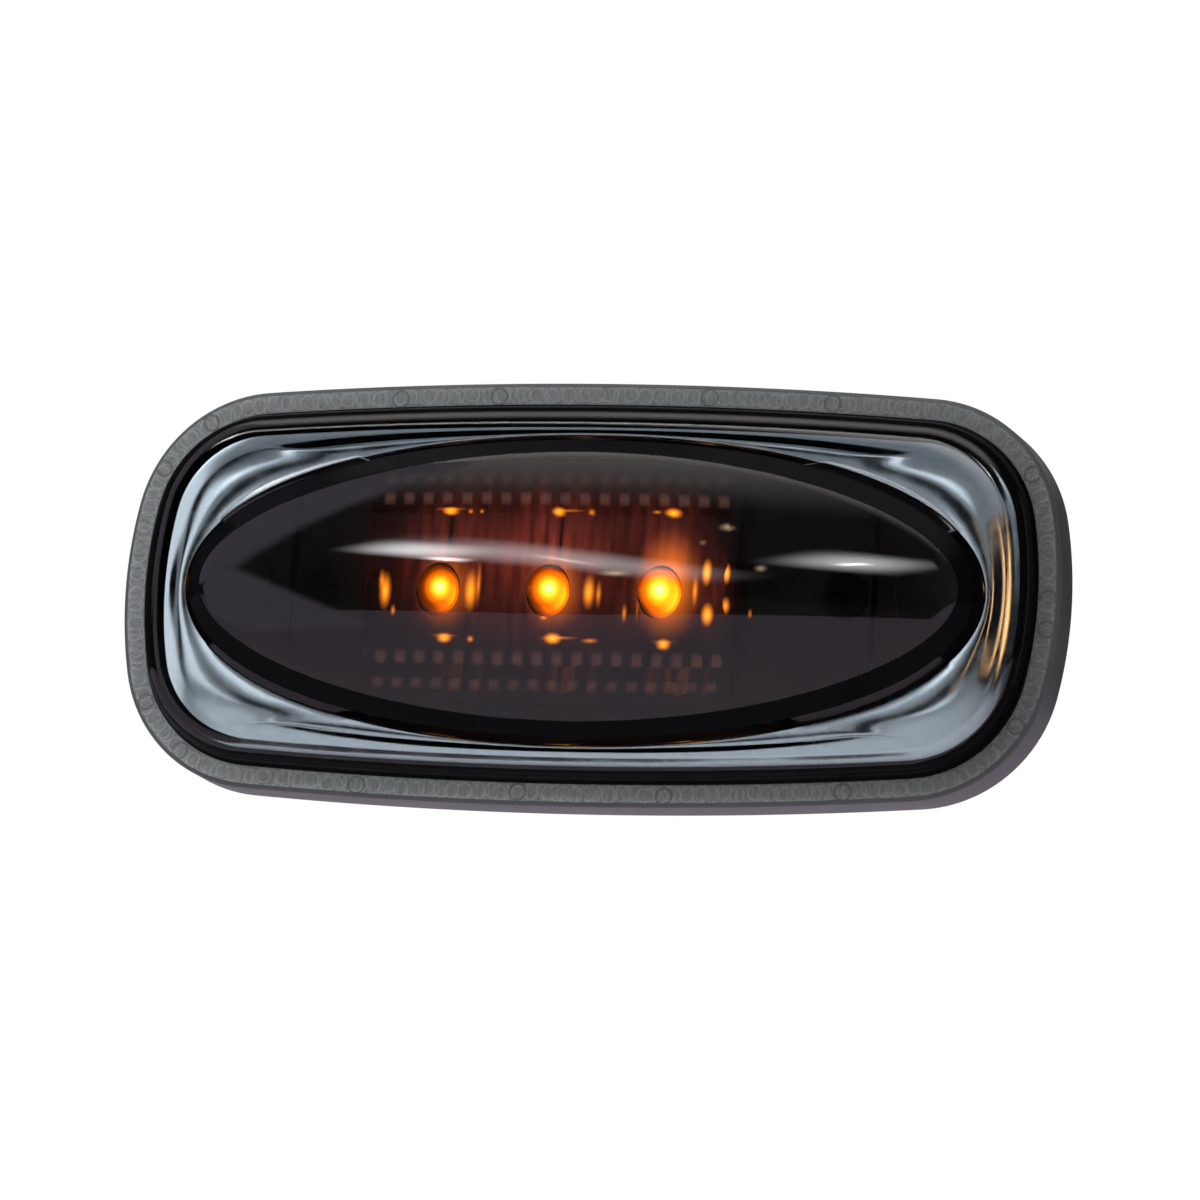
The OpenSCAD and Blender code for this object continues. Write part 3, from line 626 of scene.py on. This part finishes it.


# Painted reflections of the LEDs in the facets and ribs, bright amber
painted_led_images = patches(
    (-19.2, 9.6, 1.5, 0.8, 5.0), (-19.2, 9.9, 2.8, 0.35, 1.2), (-16.3, 9.6, 0.55, 0.5, 1.6),
    (-14.7, 9.6, 0.45, 0.45, 1.6), (-3.6, 9.6, 1.3, 0.9, 5.0), (-2.2, 9.8, 3.0, 0.3, 0.9),
    (1.1, 9.6, 0.7, 0.7, 1.6), (12.7, 9.7, 1.6, 0.9, 5.0), (10.4, 9.8, 0.9, 0.4, 1.4),
    (-19.0, -5.9, 1.4, 0.8, 4.5), (-19.0, -5.6, 2.6, 0.3, 1.0), (-15.2, -6.0, 0.7, 0.6, 1.8),
    (-3.4, -5.8, 1.6, 0.9, 5.0), (-2.6, -5.7, 3.6, 0.3, 1.2), (1.9, -6.0, 1.6, 0.45, 1.4),
    (-4.8, -3.2, 0.8, 0.6, 2.2), (12.3, -6.3, 1.3, 0.9, 4.5), (12.3, -6.0, 2.2, 0.3, 0.9),
    (-27.9, -0.3, 1.1, 2.6, 4.0), (-28.5, 1.0, 0.6, 1.6, 1.8), (-26.6, -2.6, 0.5, 0.9, 1.6),
    (-15.5, -0.2, 1.2, 3.0, 4.0), (-14.4, 0.6, 0.5, 3.2, 1.6), (1.4, -0.2, 1.1, 2.4, 4.0),
    (2.8, -0.4, 0.6, 2.0, 1.8), (6.6, -2.6, 0.5, 1.5, 1.6), (8.4, -2.0, 0.3, 2.4, 0.6),
    (16.4, 0.2, 0.55, 2.4, 2.4), (17.9, 2.4, 0.9, 1.9, 5.5), (18.3, -2.6, 1.1, 1.7, 5.0),
    (21.5, 2.0, 0.7, 1.6, 5.0), (21.6, -2.1, 0.8, 1.4, 3.2), (24.3, -2.4, 0.4, 0.8, 1.2),
)
# Painted light: the LEDs' light scattered by the plate, a painted glow round each LED and a few painted pale glints
painted_scatter = patches((-6.0, 4.0, 32.0, 15.0, 0.16), (-19.5, 3.5, 9.0, 11.0, 0.14), (-3.7, 3.5, 9.0, 11.0, 0.16),
               (12.1, 3.5, 9.0, 12.0, 0.16), (19.0, 0.0, 5.0, 8.0, 0.08))
painted_halo = patches((-19.3, 0.0, 4.8, 5.8, 1.5), (-3.5, 0.0, 4.8, 5.8, 1.8), (12.5, 0.8, 5.6, 7.6, 2.6))
painted_glints = patches((20.6, 8.0, 2.0, 0.7, 0.9), (4.9, 2.1, 3.2, 0.5, 0.8), (25.4, 3.0, 1.2, 0.6, 0.6),
                (17.0, 6.0, 0.8, 0.5, 0.3))
# The painted scattered light has fine upright streaks and a dark joint between the cells
drawn = add(tree, "ShaderNodeMapping", {"Vector": flat, "Scale": (0.9, 1, 0.12)}).outputs[0]
streaks = ranged(tree, noise(tree, 1.0, 4.0, drawn), 0.5, 2.0, 0.3, 0.7)
joints = calc(tree, "SUBTRACT", 1.0, patches((-19.0, 5.0, 0.9, 30.0, 1.2), (-3.1, 5.0, 0.9, 30.0, 1.2)),
              use_clamp=True)
painted_scatter = calc(tree, "MULTIPLY", calc(tree, "MULTIPLY", painted_scatter, joints), streaks)
# Painted light on the rows of pillow facets, which catch a little of the LEDs' light
painted_tooth_light = []
for row_z, half_h, level in ((14.4, 0.9, 0.03), (11.5, 1.0, 0.1), (-8.4, 1.1, 0.08), (-12.6, 1.0, 0.06)):
    near = calc(tree, "DIVIDE", calc(tree, "ABSOLUTE", calc(tree, "SUBTRACT", on_plate[2], row_z)), half_h)
    band = calc(tree, "SUBTRACT", 1.0, near, use_clamp=True)
    painted_tooth_light.append(calc(tree, "MULTIPLY", calc(tree, "SQRT", band), level))
tooth_pitch, row_middle, row_reach = 2.83, -4.7, 25.6
wave = calc(tree, "SINE", calc(tree, "MULTIPLY_ADD", on_plate[0], 2 * pi / tooth_pitch, 1.3))
tooth = ranged(tree, wave, 0.0, 1.0, -0.5, 0.5)
in_row = calc(tree, "LESS_THAN", calc(tree, "ABSOLUTE", calc(tree, "SUBTRACT", on_plate[0], row_middle)), row_reach)
painted_tooth_light = calc(tree, "MULTIPLY", calc(tree, "MULTIPLY", summed(painted_tooth_light), tooth), in_row)
# All this painted light goes into the reflector's emission, so that it glows though it is no lamp.
lit = (0, 0, 0)
for light, colour in ((painted_led_images, (1.0, 0.26, 0.01)), (painted_halo, (1.0, 0.22, 0.015)), (painted_scatter, (1.0, 0.15, 0.09)),
                      (painted_glints, (1.0, 0.75, 0.45)), (painted_tooth_light, (1.0, 0.45, 0.35))):
    lit = vector(tree, "ADD", lit, scaled(tree, colour, light))
wire(tree, shader, Emission_Color=lit)
trough = worked_copy("reflector", "trough_reflector", 0)
seated(trough, smoky_metal, "reflector")

# ---- LEDs: three through-hole LEDs in amber epoxy, lit. Each is a domed cylinder with a flange, cast
# round two steel leads that are soldered to the board.
led_places, led_r, led_flange_r, led_back = (-20.3, -4.5, 11.3), 2.5, 2.9, 2.02
lead_x, lead_y, lead_side, lead_length = 1.27, 0.3, 0.5, 4.6
amber_epoxy, tree, shader = new_finish("amber_epoxy", Base_Color=(0.2, 0.05, 0.004, 1), Roughness=0.12,
                                       Emission_Strength=5.0)
across = add(tree, "ShaderNodeUVMap", uv_map="from_axis").outputs[0]
from_spot = length_of(tree, vector(tree, "SUBTRACT", across, (0.34, -0.12, 0)))
# The LEDs further to the right look larger and brighter
narrow = ranged(tree, xyz(tree, own_place(tree))["X"], 0.95, 0.74, -0.02, 0.011)
heat = ramp(tree, calc(tree, "MULTIPLY", from_spot, narrow), (0, (1.0, 0.88, 0.24)), (0.16, (1.0, 0.7, 0.06)),
            (0.3, (0.8, 0.28, 0.006)), (0.55, (0.4, 0.065, 0.0)), (0.8, (0.08, 0.01, 0.0)), (1, (0.02, 0.003, 0.0)))
wire(tree, shader, Emission_Color=heat)

bpy.ops.object.select_all(action="DESELECT")
bpy.ops.mesh.primitive_circle_add(vertices=48, radius=led_flange_r * mm, fill_type="NGON",
                                  location=(0, -led_back * mm, 0), rotation=(pi / 2, 0, 0))
led = bpy.context.object
led.name = "amber_led_1"
bpy.ops.object.transform_apply()
bpy.ops.object.mode_set(mode="EDIT")
bpy.ops.mesh.select_all(action="SELECT")


def step_up(rise, r_from, r_to):
    """Extrudes the selected end of a turned piece forwards and brings it to another radius."""
    bpy.ops.mesh.extrude_region_move(TRANSFORM_OT_translate={"value": (0, -rise * mm, 0)})
    bpy.ops.transform.resize(value=(r_to / r_from, 1, r_to / r_from), center_override=(0, 0, 0))


for rise, r_from, r_to in ((0.85, led_flange_r, led_flange_r), (0.12, led_flange_r, 2.78), (0.03, 2.78, led_r),
                          (5.1, led_r, led_r)):
    step_up(rise, r_from, r_to)
dome_steps, dome_turn = 10, radians(88)
for number in range(dome_steps):
    now, then = dome_turn * number / dome_steps, dome_turn * (number + 1) / dome_steps
    step_up(led_r * (sin(then) - sin(now)), led_r * cos(now), led_r * cos(then))
bpy.ops.object.mode_set(mode="OBJECT")
for side in (-1, 1):
    bpy.ops.mesh.primitive_cube_add(size=1, location=(side * lead_x * mm, lead_y * mm, 0))
    lead = bpy.context.object
    lead.scale = (lead_side * mm, lead_length * mm, lead_side * mm)
    bpy.ops.object.transform_apply()
    led.select_set(True)
    bpy.context.view_layer.objects.active = led
    bpy.ops.object.join()
bpy.ops.object.mode_set(mode="EDIT")
face_outwards()
bpy.ops.object.shade_smooth_by_angle(angle=radians(40))


def fresh_map(piece, name):
    """A new UV map, as the piece's only one."""
    while piece.data.uv_layers:
        piece.data.uv_layers.remove(piece.data.uv_layers[0])
    return piece.data.uv_layers.new(name=name).data


from_axis = fresh_map(led, "from_axis")
for corner in led.data.loops:
    co = led.data.vertices[corner.vertex_index].co
    from_axis[corner.index].uv = (co.x / (led_flange_r * mm), co.z / (led_flange_r * mm))
leds = (led, copied(led, "amber_led_2"), copied(led, "amber_led_3"))
for number, (piece, x) in enumerate(zip(leds, led_places), 1):
    move_along(piece, x * mm)
    seated(piece, amber_epoxy, f"led_{number}")

# ---- Bezel: one moulding with a vacuum-metallised black chrome face. It fills the lens from wall to
# wall. Its face bulges a little and falls from the rounded lip of its oval opening to its outer edge.
outline_arcs = (  # from the end to the long side: centre, turn in degrees, radius and steps
    ((6.4077, 0.0), 11.5353, 61.5923, 16),
    ((47.1599, 8.3173), 74.3777, 20.0, 22),
    ((0.0, -651.7), 4.0870, 681.7, 26),
)
lamp_half_len, first_rise, arc_gap = 68, 0.2, 0.01 * mm
full_oval, lean_oval, plain_oval = 0.5837, 0.5181, 0.5523


def outline_face(name, inset, front):
    """The lamp's barrel-shaped outline, spun arc by arc from one point at its end, and filled in front.
    It is raised a little, so that the open edge at its back stays where it is."""
    piece = one_point(name, ((lamp_half_len - inset) * mm, -front * mm, 0))
    for to_right, to_top in ((1, 1), (-1, 1), (-1, -1), (1, -1)):
        for (x, z), turn, _, steps in outline_arcs if to_right == to_top else outline_arcs[::-1]:
            bpy.ops.mesh.spin(steps=steps, angle=radians(turn), axis=(0, 1, 0),
                              center=(to_right * x * mm, -front * mm, to_top * z * mm))
    bpy.ops.mesh.select_all(action="SELECT")
    bpy.ops.mesh.remove_doubles(threshold=arc_gap)
    bpy.ops.mesh.edge_face_add()
    push_out(first_rise)
    pick(piece, "FACE", lambda co: abs(co.y + front * mm) < arc_gap)
    bpy.ops.mesh.delete(type="ONLY_FACE")
    pick(piece, "FACE", lambda co: co.y < -(front + first_rise / 2) * mm)
    return piece


def push_out(distance):
    """Extrudes the selected face forwards."""
    bpy.ops.mesh.extrude_region_move(TRANSFORM_OT_translate={"value": (0, -distance * mm, 0)})


def round_over(r, turn, steps):
    """Rounds the front edge of the selected face over, by small insets that climb an arc."""
    for number in range(steps):
        now, then = radians(turn) * number / steps, radians(turn) * (number + 1) / steps
        bpy.ops.mesh.inset(thickness=r * mm * (cos(now) - cos(then)), depth=r * mm * (sin(then) - sin(now)),
                           use_even_offset=True)


def add_oval(piece, half_len, half_h, fullness, front):
    """Adds an oval loop to a piece: a four-point curve with longer or shorter handles, made a mesh."""
    bpy.ops.object.mode_set(mode="OBJECT")
    bpy.ops.object.select_all(action="DESELECT")
    bpy.ops.curve.primitive_bezier_circle_add(radius=1)
    loop = bpy.context.object
    loop.data.resolution_u = sum(arc[3] for arc in outline_arcs)
    for point in loop.data.splines[0].bezier_points:
        point.handle_left_type = point.handle_right_type = "FREE"
        point.handle_left = point.co + (point.handle_left - point.co) * fullness / plain_oval
        point.handle_right = point.co + (point.handle_right - point.co) * fullness / plain_oval
    loop.scale = (half_len * mm, half_h * mm, 1)
    loop.rotation_euler = (pi / 2, 0, 0)
    loop.location = (0, -front * mm, 0)
    bpy.ops.object.convert(target="MESH")
    bpy.ops.object.transform_apply()
    piece.select_set(True)
    bpy.context.view_layer.objects.active = piece
    bpy.ops.object.join()
    bpy.ops.object.mode_set(mode="EDIT")


def pick_loops(piece, *fronts):
    """Selects the open loops of a piece that lie flat at the given heights."""
    shape = pick(piece, "EDGE", lambda co: any(abs(co.y + front * mm) < 0.004 * mm for front in fronts))
    for edge in shape.edges:
        if edge.select and len(edge.link_faces) > 1:
            edge.select_set(False)
    bmesh.update_edit_mesh(piece.data)


def ring_to(reach_now, reach_next, front_now, front_next, slimness):
    """Extrudes the selected oval loop to another half-length and height; slimness is length less height."""
    bpy.ops.mesh.extrude_edges_move()
    bpy.ops.transform.resize(center_override=(0, -front_now * mm, 0),
                             value=(reach_next / reach_now, 1, (reach_next - slimness) / (reach_now - slimness)))
    bpy.ops.transform.translate(value=(0, -(front_next - front_now) * mm, 0))


bezel_inset, bezel_foot, bezel_top, bezel_edge_r, edge_slope, bezel_wall = 6.15, 5.0, 9.0, 1.1, 6.0, 1.2
lip_reach, lip_slimness, lip_front, lip_r, lip_depth, lip_slope, lip_steps = 58.2, 36.0, 9.5, 0.6, 1.6, 1.0, 8
bezel = outline_face("black_chrome_bezel", bezel_inset, bezel_foot)
push_out(bezel_top - bezel_edge_r - bezel_foot - first_rise)
round_over(bezel_edge_r, 90 - edge_slope, 8)
bezel_rim = bezel_top - bezel_edge_r * (1 - cos(radians(edge_slope)))
bpy.ops.mesh.delete(type="ONLY_FACE")
add_oval(bezel, lip_reach, lip_reach - lip_slimness, full_oval, lip_front)
pick_loops(bezel, lip_front)
reach, front = lip_reach, lip_front
roll_reach = lip_reach - lip_r * sin(radians(lip_slope))
roll_front = lip_front - lip_r * cos(radians(lip_slope))
for number in range(1, lip_steps + 1):
    tilt = radians(lip_slope) - radians(90 + lip_slope) * number / lip_steps
    next_reach, next_front = roll_reach + lip_r * sin(tilt), roll_front + lip_r * cos(tilt)
    ring_to(reach, next_reach, front, next_front, lip_slimness)
    reach, front = next_reach, next_front
ring_to(reach, reach, front, lip_front - lip_depth, lip_slimness)
pick_loops(bezel, lip_front, bezel_rim)
bpy.ops.mesh.bridge_edge_loops(number_cuts=15, interpolation="SURFACE", smoothness=1)
bpy.ops.object.mode_set(mode="OBJECT")
wall = bezel.modifiers.new("moulded_wall", "SOLIDIFY")
wall.thickness = bezel_wall * mm
wall.offset = -1
apply_all(bezel)
bpy.ops.object.shade_smooth_by_angle(angle=radians(50))

black_chrome, tree, shader = new_finish("black_chrome", Metallic=1.0)
waves, haze = noise(tree, 70.0, 1.5, Roughness=0.4), noise(tree, 260.0, 4.0, Roughness=0.65)
wire(tree, shader, Base_Color=between(tree, haze, (0.58, 0.75, 0.82, 1), (0.7, 0.85, 0.92, 1)),
     Roughness=ranged(tree, haze, 0.07, 0.16, 0.35, 0.75), Normal=bumped(tree, waves, 0.35, 0.5 * mm))
seated(bezel, black_chrome, "chrome_bezel")

# ---- Lens: one moulding of smoked clear plastic. Its satin flange has a skirt that wraps the housing's
# flange. The raised body has black gloss walls, a clear face and an oval eye with a low dome. The black
# gloss is painted shade: an opaque black that stands in for the dark look of the smoked walls.
flange_front, rim_w, wall_inset, crown_r, face_front = 8.0, 3.4, 3.65, 3.0, 12.2
foot_reach, edge_reach, eye_slimness, edge_front = 57.0, 55.0, 36.0, 13.7
dome_rise, dome_rings, skirt_back = 3.8, 26, 1.2
lens_wall, skirt_wall, shelf = 2.2, 1.6, 5.0
flange_edge_r, wall_foot, clear_crown, hair = 0.6, 0.3, 0.9, 0.003


def outline_skin(name, inset, steps):
    """One skin of the lens from its back edge to its face, which is left open for the eye."""
    piece = outline_face(name, inset, skirt_back)
    for kind, *sizes in steps:
        if kind == "out":
            push_out(sizes[0])
        elif kind == "in":
            bpy.ops.mesh.inset(thickness=sizes[0] * mm, depth=sizes[1] * mm, use_even_offset=True)
        else:
            round_over(sizes[0], 90, sizes[1])
    bpy.ops.mesh.delete(type="ONLY_FACE")
    bpy.ops.object.mode_set(mode="OBJECT")
    return piece


def eye_skin(name, drop):
    """One skin of the raised oval eye: its sloping side and its dome."""
    foot_at, edge_at = face_front - drop, edge_front - drop
    piece = one_point(name, (0, 0, 0))
    bpy.ops.mesh.delete(type="VERT")
    add_oval(piece, foot_reach, foot_reach - eye_slimness, full_oval, foot_at)
    add_oval(piece, edge_reach, edge_reach - eye_slimness, lean_oval, edge_at)
    pick_loops(piece, foot_at, edge_at)
    bpy.ops.mesh.bridge_edge_loops(number_cuts=6, interpolation="LINEAR")
    pick_loops(piece, edge_at)
    reach, front = 1.0, edge_at
    for number in range(1, dome_rings + 1):
        next_reach = 1 - number / (dome_rings + 0.5)
        next_front = edge_at + dome_rise * (1 - next_reach ** 2)
        bpy.ops.mesh.extrude_edges_move()
        bpy.ops.transform.resize(value=(next_reach / reach, 1, next_reach / reach),
                                 center_override=(0, -front * mm, 0))
        bpy.ops.transform.translate(value=(0, -(next_front - front) * mm, 0))
        reach, front = next_reach, next_front
    bpy.ops.mesh.edge_face_add()
    bpy.ops.mesh.poke()
    bpy.ops.object.mode_set(mode="OBJECT")
    return piece


def one_of(*pieces):
    """Joins pieces into the first one and opens it for editing."""
    bpy.ops.object.select_all(action="DESELECT")
    for piece in pieces:
        piece.select_set(True)
    bpy.context.view_layer.objects.active = pieces[0]
    bpy.ops.object.join()
    bpy.ops.object.mode_set(mode="EDIT")
    return pieces[0]


def joined_face(body, eye, front):
    """Joins a body skin and an eye skin across the flat face between them."""
    piece = one_of(body, eye)
    pick_loops(piece, front)
    bpy.ops.mesh.bridge_edge_loops(number_cuts=4, interpolation="LINEAR")
    bpy.ops.object.mode_set(mode="OBJECT")
    return piece


lens = joined_face(outline_skin("smoked_lens", 0, (
    ("out", flange_front - flange_edge_r - first_rise - skirt_back),
    ("round", flange_edge_r, 5),
    ("in", rim_w - flange_edge_r - wall_foot, 0),
    ("in", wall_foot, wall_foot),
    ("in", wall_inset - rim_w, face_front - crown_r - flange_front - wall_foot),
    ("round", crown_r, 14),
)), eye_skin("outer_eye", 0), face_front)

rim_circles, given, made = new_group("rim_circles", [
    ("Along", "NodeSocketFloat", 0.0),
    ("Across", "NodeSocketFloat", 0.0),
    ("Pitch", "NodeSocketFloat", 2.0),
    ("Start", "NodeSocketFloat", 0.0),
    ("Radius", "NodeSocketFloat", 1.1),
    ("Line", "NodeSocketFloat", 0.15),
    ("Scatter", "NodeSocketFloat", 0.5),
], [("Ring", "NodeSocketFloat")])


def rim(operation, *values, **settings):
    """A math node of the circles' group."""
    return calc(rim_circles, operation, *values, **settings)


rim_middle = 1.75
cell_at = rim("MULTIPLY_ADD", given["Along"], rim("DIVIDE", 1.0, given["Pitch"]), given["Start"])
chance = add(rim_circles, "ShaderNodeTexWhiteNoise", {"W": rim("FLOOR", cell_at)}, noise_dimensions="1D")
parts = add(rim_circles, "ShaderNodeSeparateColor", {0: chance.outputs["Color"]}).outputs
shift = rim("MULTIPLY", rim("SUBTRACT", parts[0], 0.5), given["Scatter"])
lift = rim("MULTIPLY", rim("SUBTRACT", parts[1], 0.5), 0.5)
off_u = rim("SUBTRACT", rim("MULTIPLY", rim("SUBTRACT", rim("FRACT", cell_at), 0.5), given["Pitch"]), shift)
off_v = rim("SUBTRACT", rim("SUBTRACT", given["Across"], rim_middle), lift)
away = rim("SQRT", rim("ADD", rim("MULTIPLY", off_u, off_u), rim("MULTIPLY", off_v, off_v)))
gap = rim("ABSOLUTE", rim("SUBTRACT", away, given["Radius"]))
line = rim("SUBTRACT", 1.0, rim("DIVIDE", gap, given["Line"]), use_clamp=True)
rim_circles.links.new(line, made["Ring"])

smoke = (0.66, 0.64, 0.655, 1)
smoked_clear, tree, shader = new_finish("smoked_clear", Base_Color=smoke, Roughness=0.0,
                                        Transmission_Weight=1.0, IOR=1.53)
wire(tree, shader, Normal=bumped(tree, noise(tree, 60.0, 1.0), 0.05, 0.3 * mm))

# The inner skin reflects nothing, so that the window shows one layer of reflections.
smoked_inside, tree, shader = new_finish("smoked_inside", Base_Color=smoke, Roughness=0.0,
                                         Transmission_Weight=1.0, IOR=1.53, Specular_Tint=(0, 0, 0, 1))

# Painted shade: an opaque black gloss that stands in for the dark look of the smoked walls.
black_gloss, tree, shader = new_finish("black_gloss", Roughness=0.05, IOR=1.12)
grained(tree, shader, (0.002, 0.0022, 0.0028, 1), 6.0, 0.3, 0.05, 0.0005 * mm)

satin_flange, tree, shader = new_finish("satin_flange", IOR=1.5)
on_rim = xyz(tree, add(tree, "ShaderNodeUVMap", uv_map="rim").outputs[0])


def chain(pitch, start, radius, line, scatter):
    """One chain of circles along the flange."""
    return add(tree, "ShaderNodeGroup", {"Along": on_rim[0], "Across": on_rim[1], "Pitch": pitch, "Start": start,
                                         "Radius": radius, "Line": line, "Scatter": scatter},
               node_tree=rim_circles).outputs["Ring"]


fine_rings = calc(tree, "MAXIMUM", chain(1.9, 0.3, 1.1, 0.16, 0.8), chain(2.3, 40.7, 1.0, 0.16, 1.2))
dark_rings = chain(23.0, 11.4, 1.15, 0.24, 16.0)
stretched = add(tree, "ShaderNodeCombineXYZ", {0: calc(tree, "MULTIPLY", on_rim[0], 2.2),
                                               1: calc(tree, "MULTIPLY", on_rim[1], 0.5)}).outputs[0]
streaks = noise(tree, 1.0, 3.0, stretched, Roughness=0.6)
marks = calc(tree, "MULTIPLY_ADD", fine_rings, 0.32, calc(tree, "MULTIPLY", streaks, 0.85))
tone = between(tree, marks, (0.035, 0.04, 0.041, 1), (0.26, 0.28, 0.285, 1))
ringed = between(tree, calc(tree, "MULTIPLY", dark_rings, 0.75), tone, (0.03, 0.032, 0.034, 1))
# Painted light: the flange's colour is paler at its left end and along its lower edge, as if more light fell there
spot = xyz(tree, own_place(tree))
along = ranged(tree, spot[0], 0.93, 0.58, -0.068, 0.07)
below = ranged(tree, spot[2], 1.45, 1.0, -0.031, -0.016)
wire(tree, shader, Base_Color=scaled(tree, ringed, calc(tree, "MULTIPLY", along, below)),
     Roughness=ranged(tree, streaks, 0.32, 0.5), Normal=bumped(tree, marks, 0.7, 0.1 * mm))

flange_side, tree, shader = new_finish("flange_side", IOR=1.5)
grained(tree, shader, (0.05, 0.052, 0.055, 1), 4.0, 0.15, 0.36, 0.01 * mm)
# The flange is satin, its sides are plain, and the body's walls and the eye's side are black gloss,
# painted shade that stands in for the dark look of the smoked walls.
clear, black, satin, side, inside = range(5)
for face in lens.data.polygons:
    front = -face.center.y / mm
    if front < flange_front - hair:
        face.material_index = side
    elif front < flange_front + hair:
        face.material_index = satin
    elif front < face_front - clear_crown or face_front + hair < front < edge_front - hair:
        face.material_index = black
    else:
        face.material_index = clear

inner_skin = joined_face(outline_skin("inner_skin", skirt_wall, (
    ("out", shelf - first_rise - skirt_back),
    ("in", wall_inset + lens_wall - skirt_wall, 0),
    ("out", face_front - crown_r - shelf),
    ("round", crown_r - lens_wall, 5),
)), eye_skin("inner_eye", lens_wall), face_front - lens_wall)
# The inner skin's walls take the same painted black shade.
for face in inner_skin.data.polygons:
    front = -face.center.y / mm
    face.material_index = side if front < shelf + 0.01 else black if front < face_front - crown_r else inside
for piece in (lens, inner_skin):
    for finish in (smoked_clear, black_gloss, satin_flange, flange_side, smoked_inside):
        piece.data.materials.append(finish)
one_of(lens, inner_skin)
pick_loops(lens, skirt_back)
bpy.ops.mesh.bridge_edge_loops(number_cuts=0)
face_outwards()
bpy.ops.object.shade_smooth_by_angle(angle=radians(30))


def along_rim(x, z, quarter):
    """How far a point lies round the outline, counted from the right end, and inside it, in mm."""
    x, z = abs(x) / mm, abs(z) / mm
    passed = first = 0.0
    for (cx, cz), turn, r, _ in outline_arcs:
        angle = degrees(atan2(z - cz, x - cx)) - first
        s, depth = passed + radians(angle) * r, r - hypot(x - cx, z - cz)
        if angle <= turn:
            break
        passed, first = passed + radians(turn) * r, first + turn
    whole = sum(radians(turn) * r for _, turn, r, _ in outline_arcs)
    return (s, 2 * whole - s, 2 * whole + s, 4 * whole - s)[quarter], depth


rim_map = fresh_map(lens, "rim")
for face in lens.data.polygons:
    if face.material_index in (satin, side):
        middle = face.center
        quarter = (0 if middle.z > 0 else 3) if middle.x > 0 else (1 if middle.z > 0 else 2)
        for corner in face.loop_indices:
            co = lens.data.vertices[lens.data.loops[corner].vertex_index].co
            rim_map[corner].uv = along_rim(co.x, co.z, quarter)
seated(lens, None, "outer_lens")
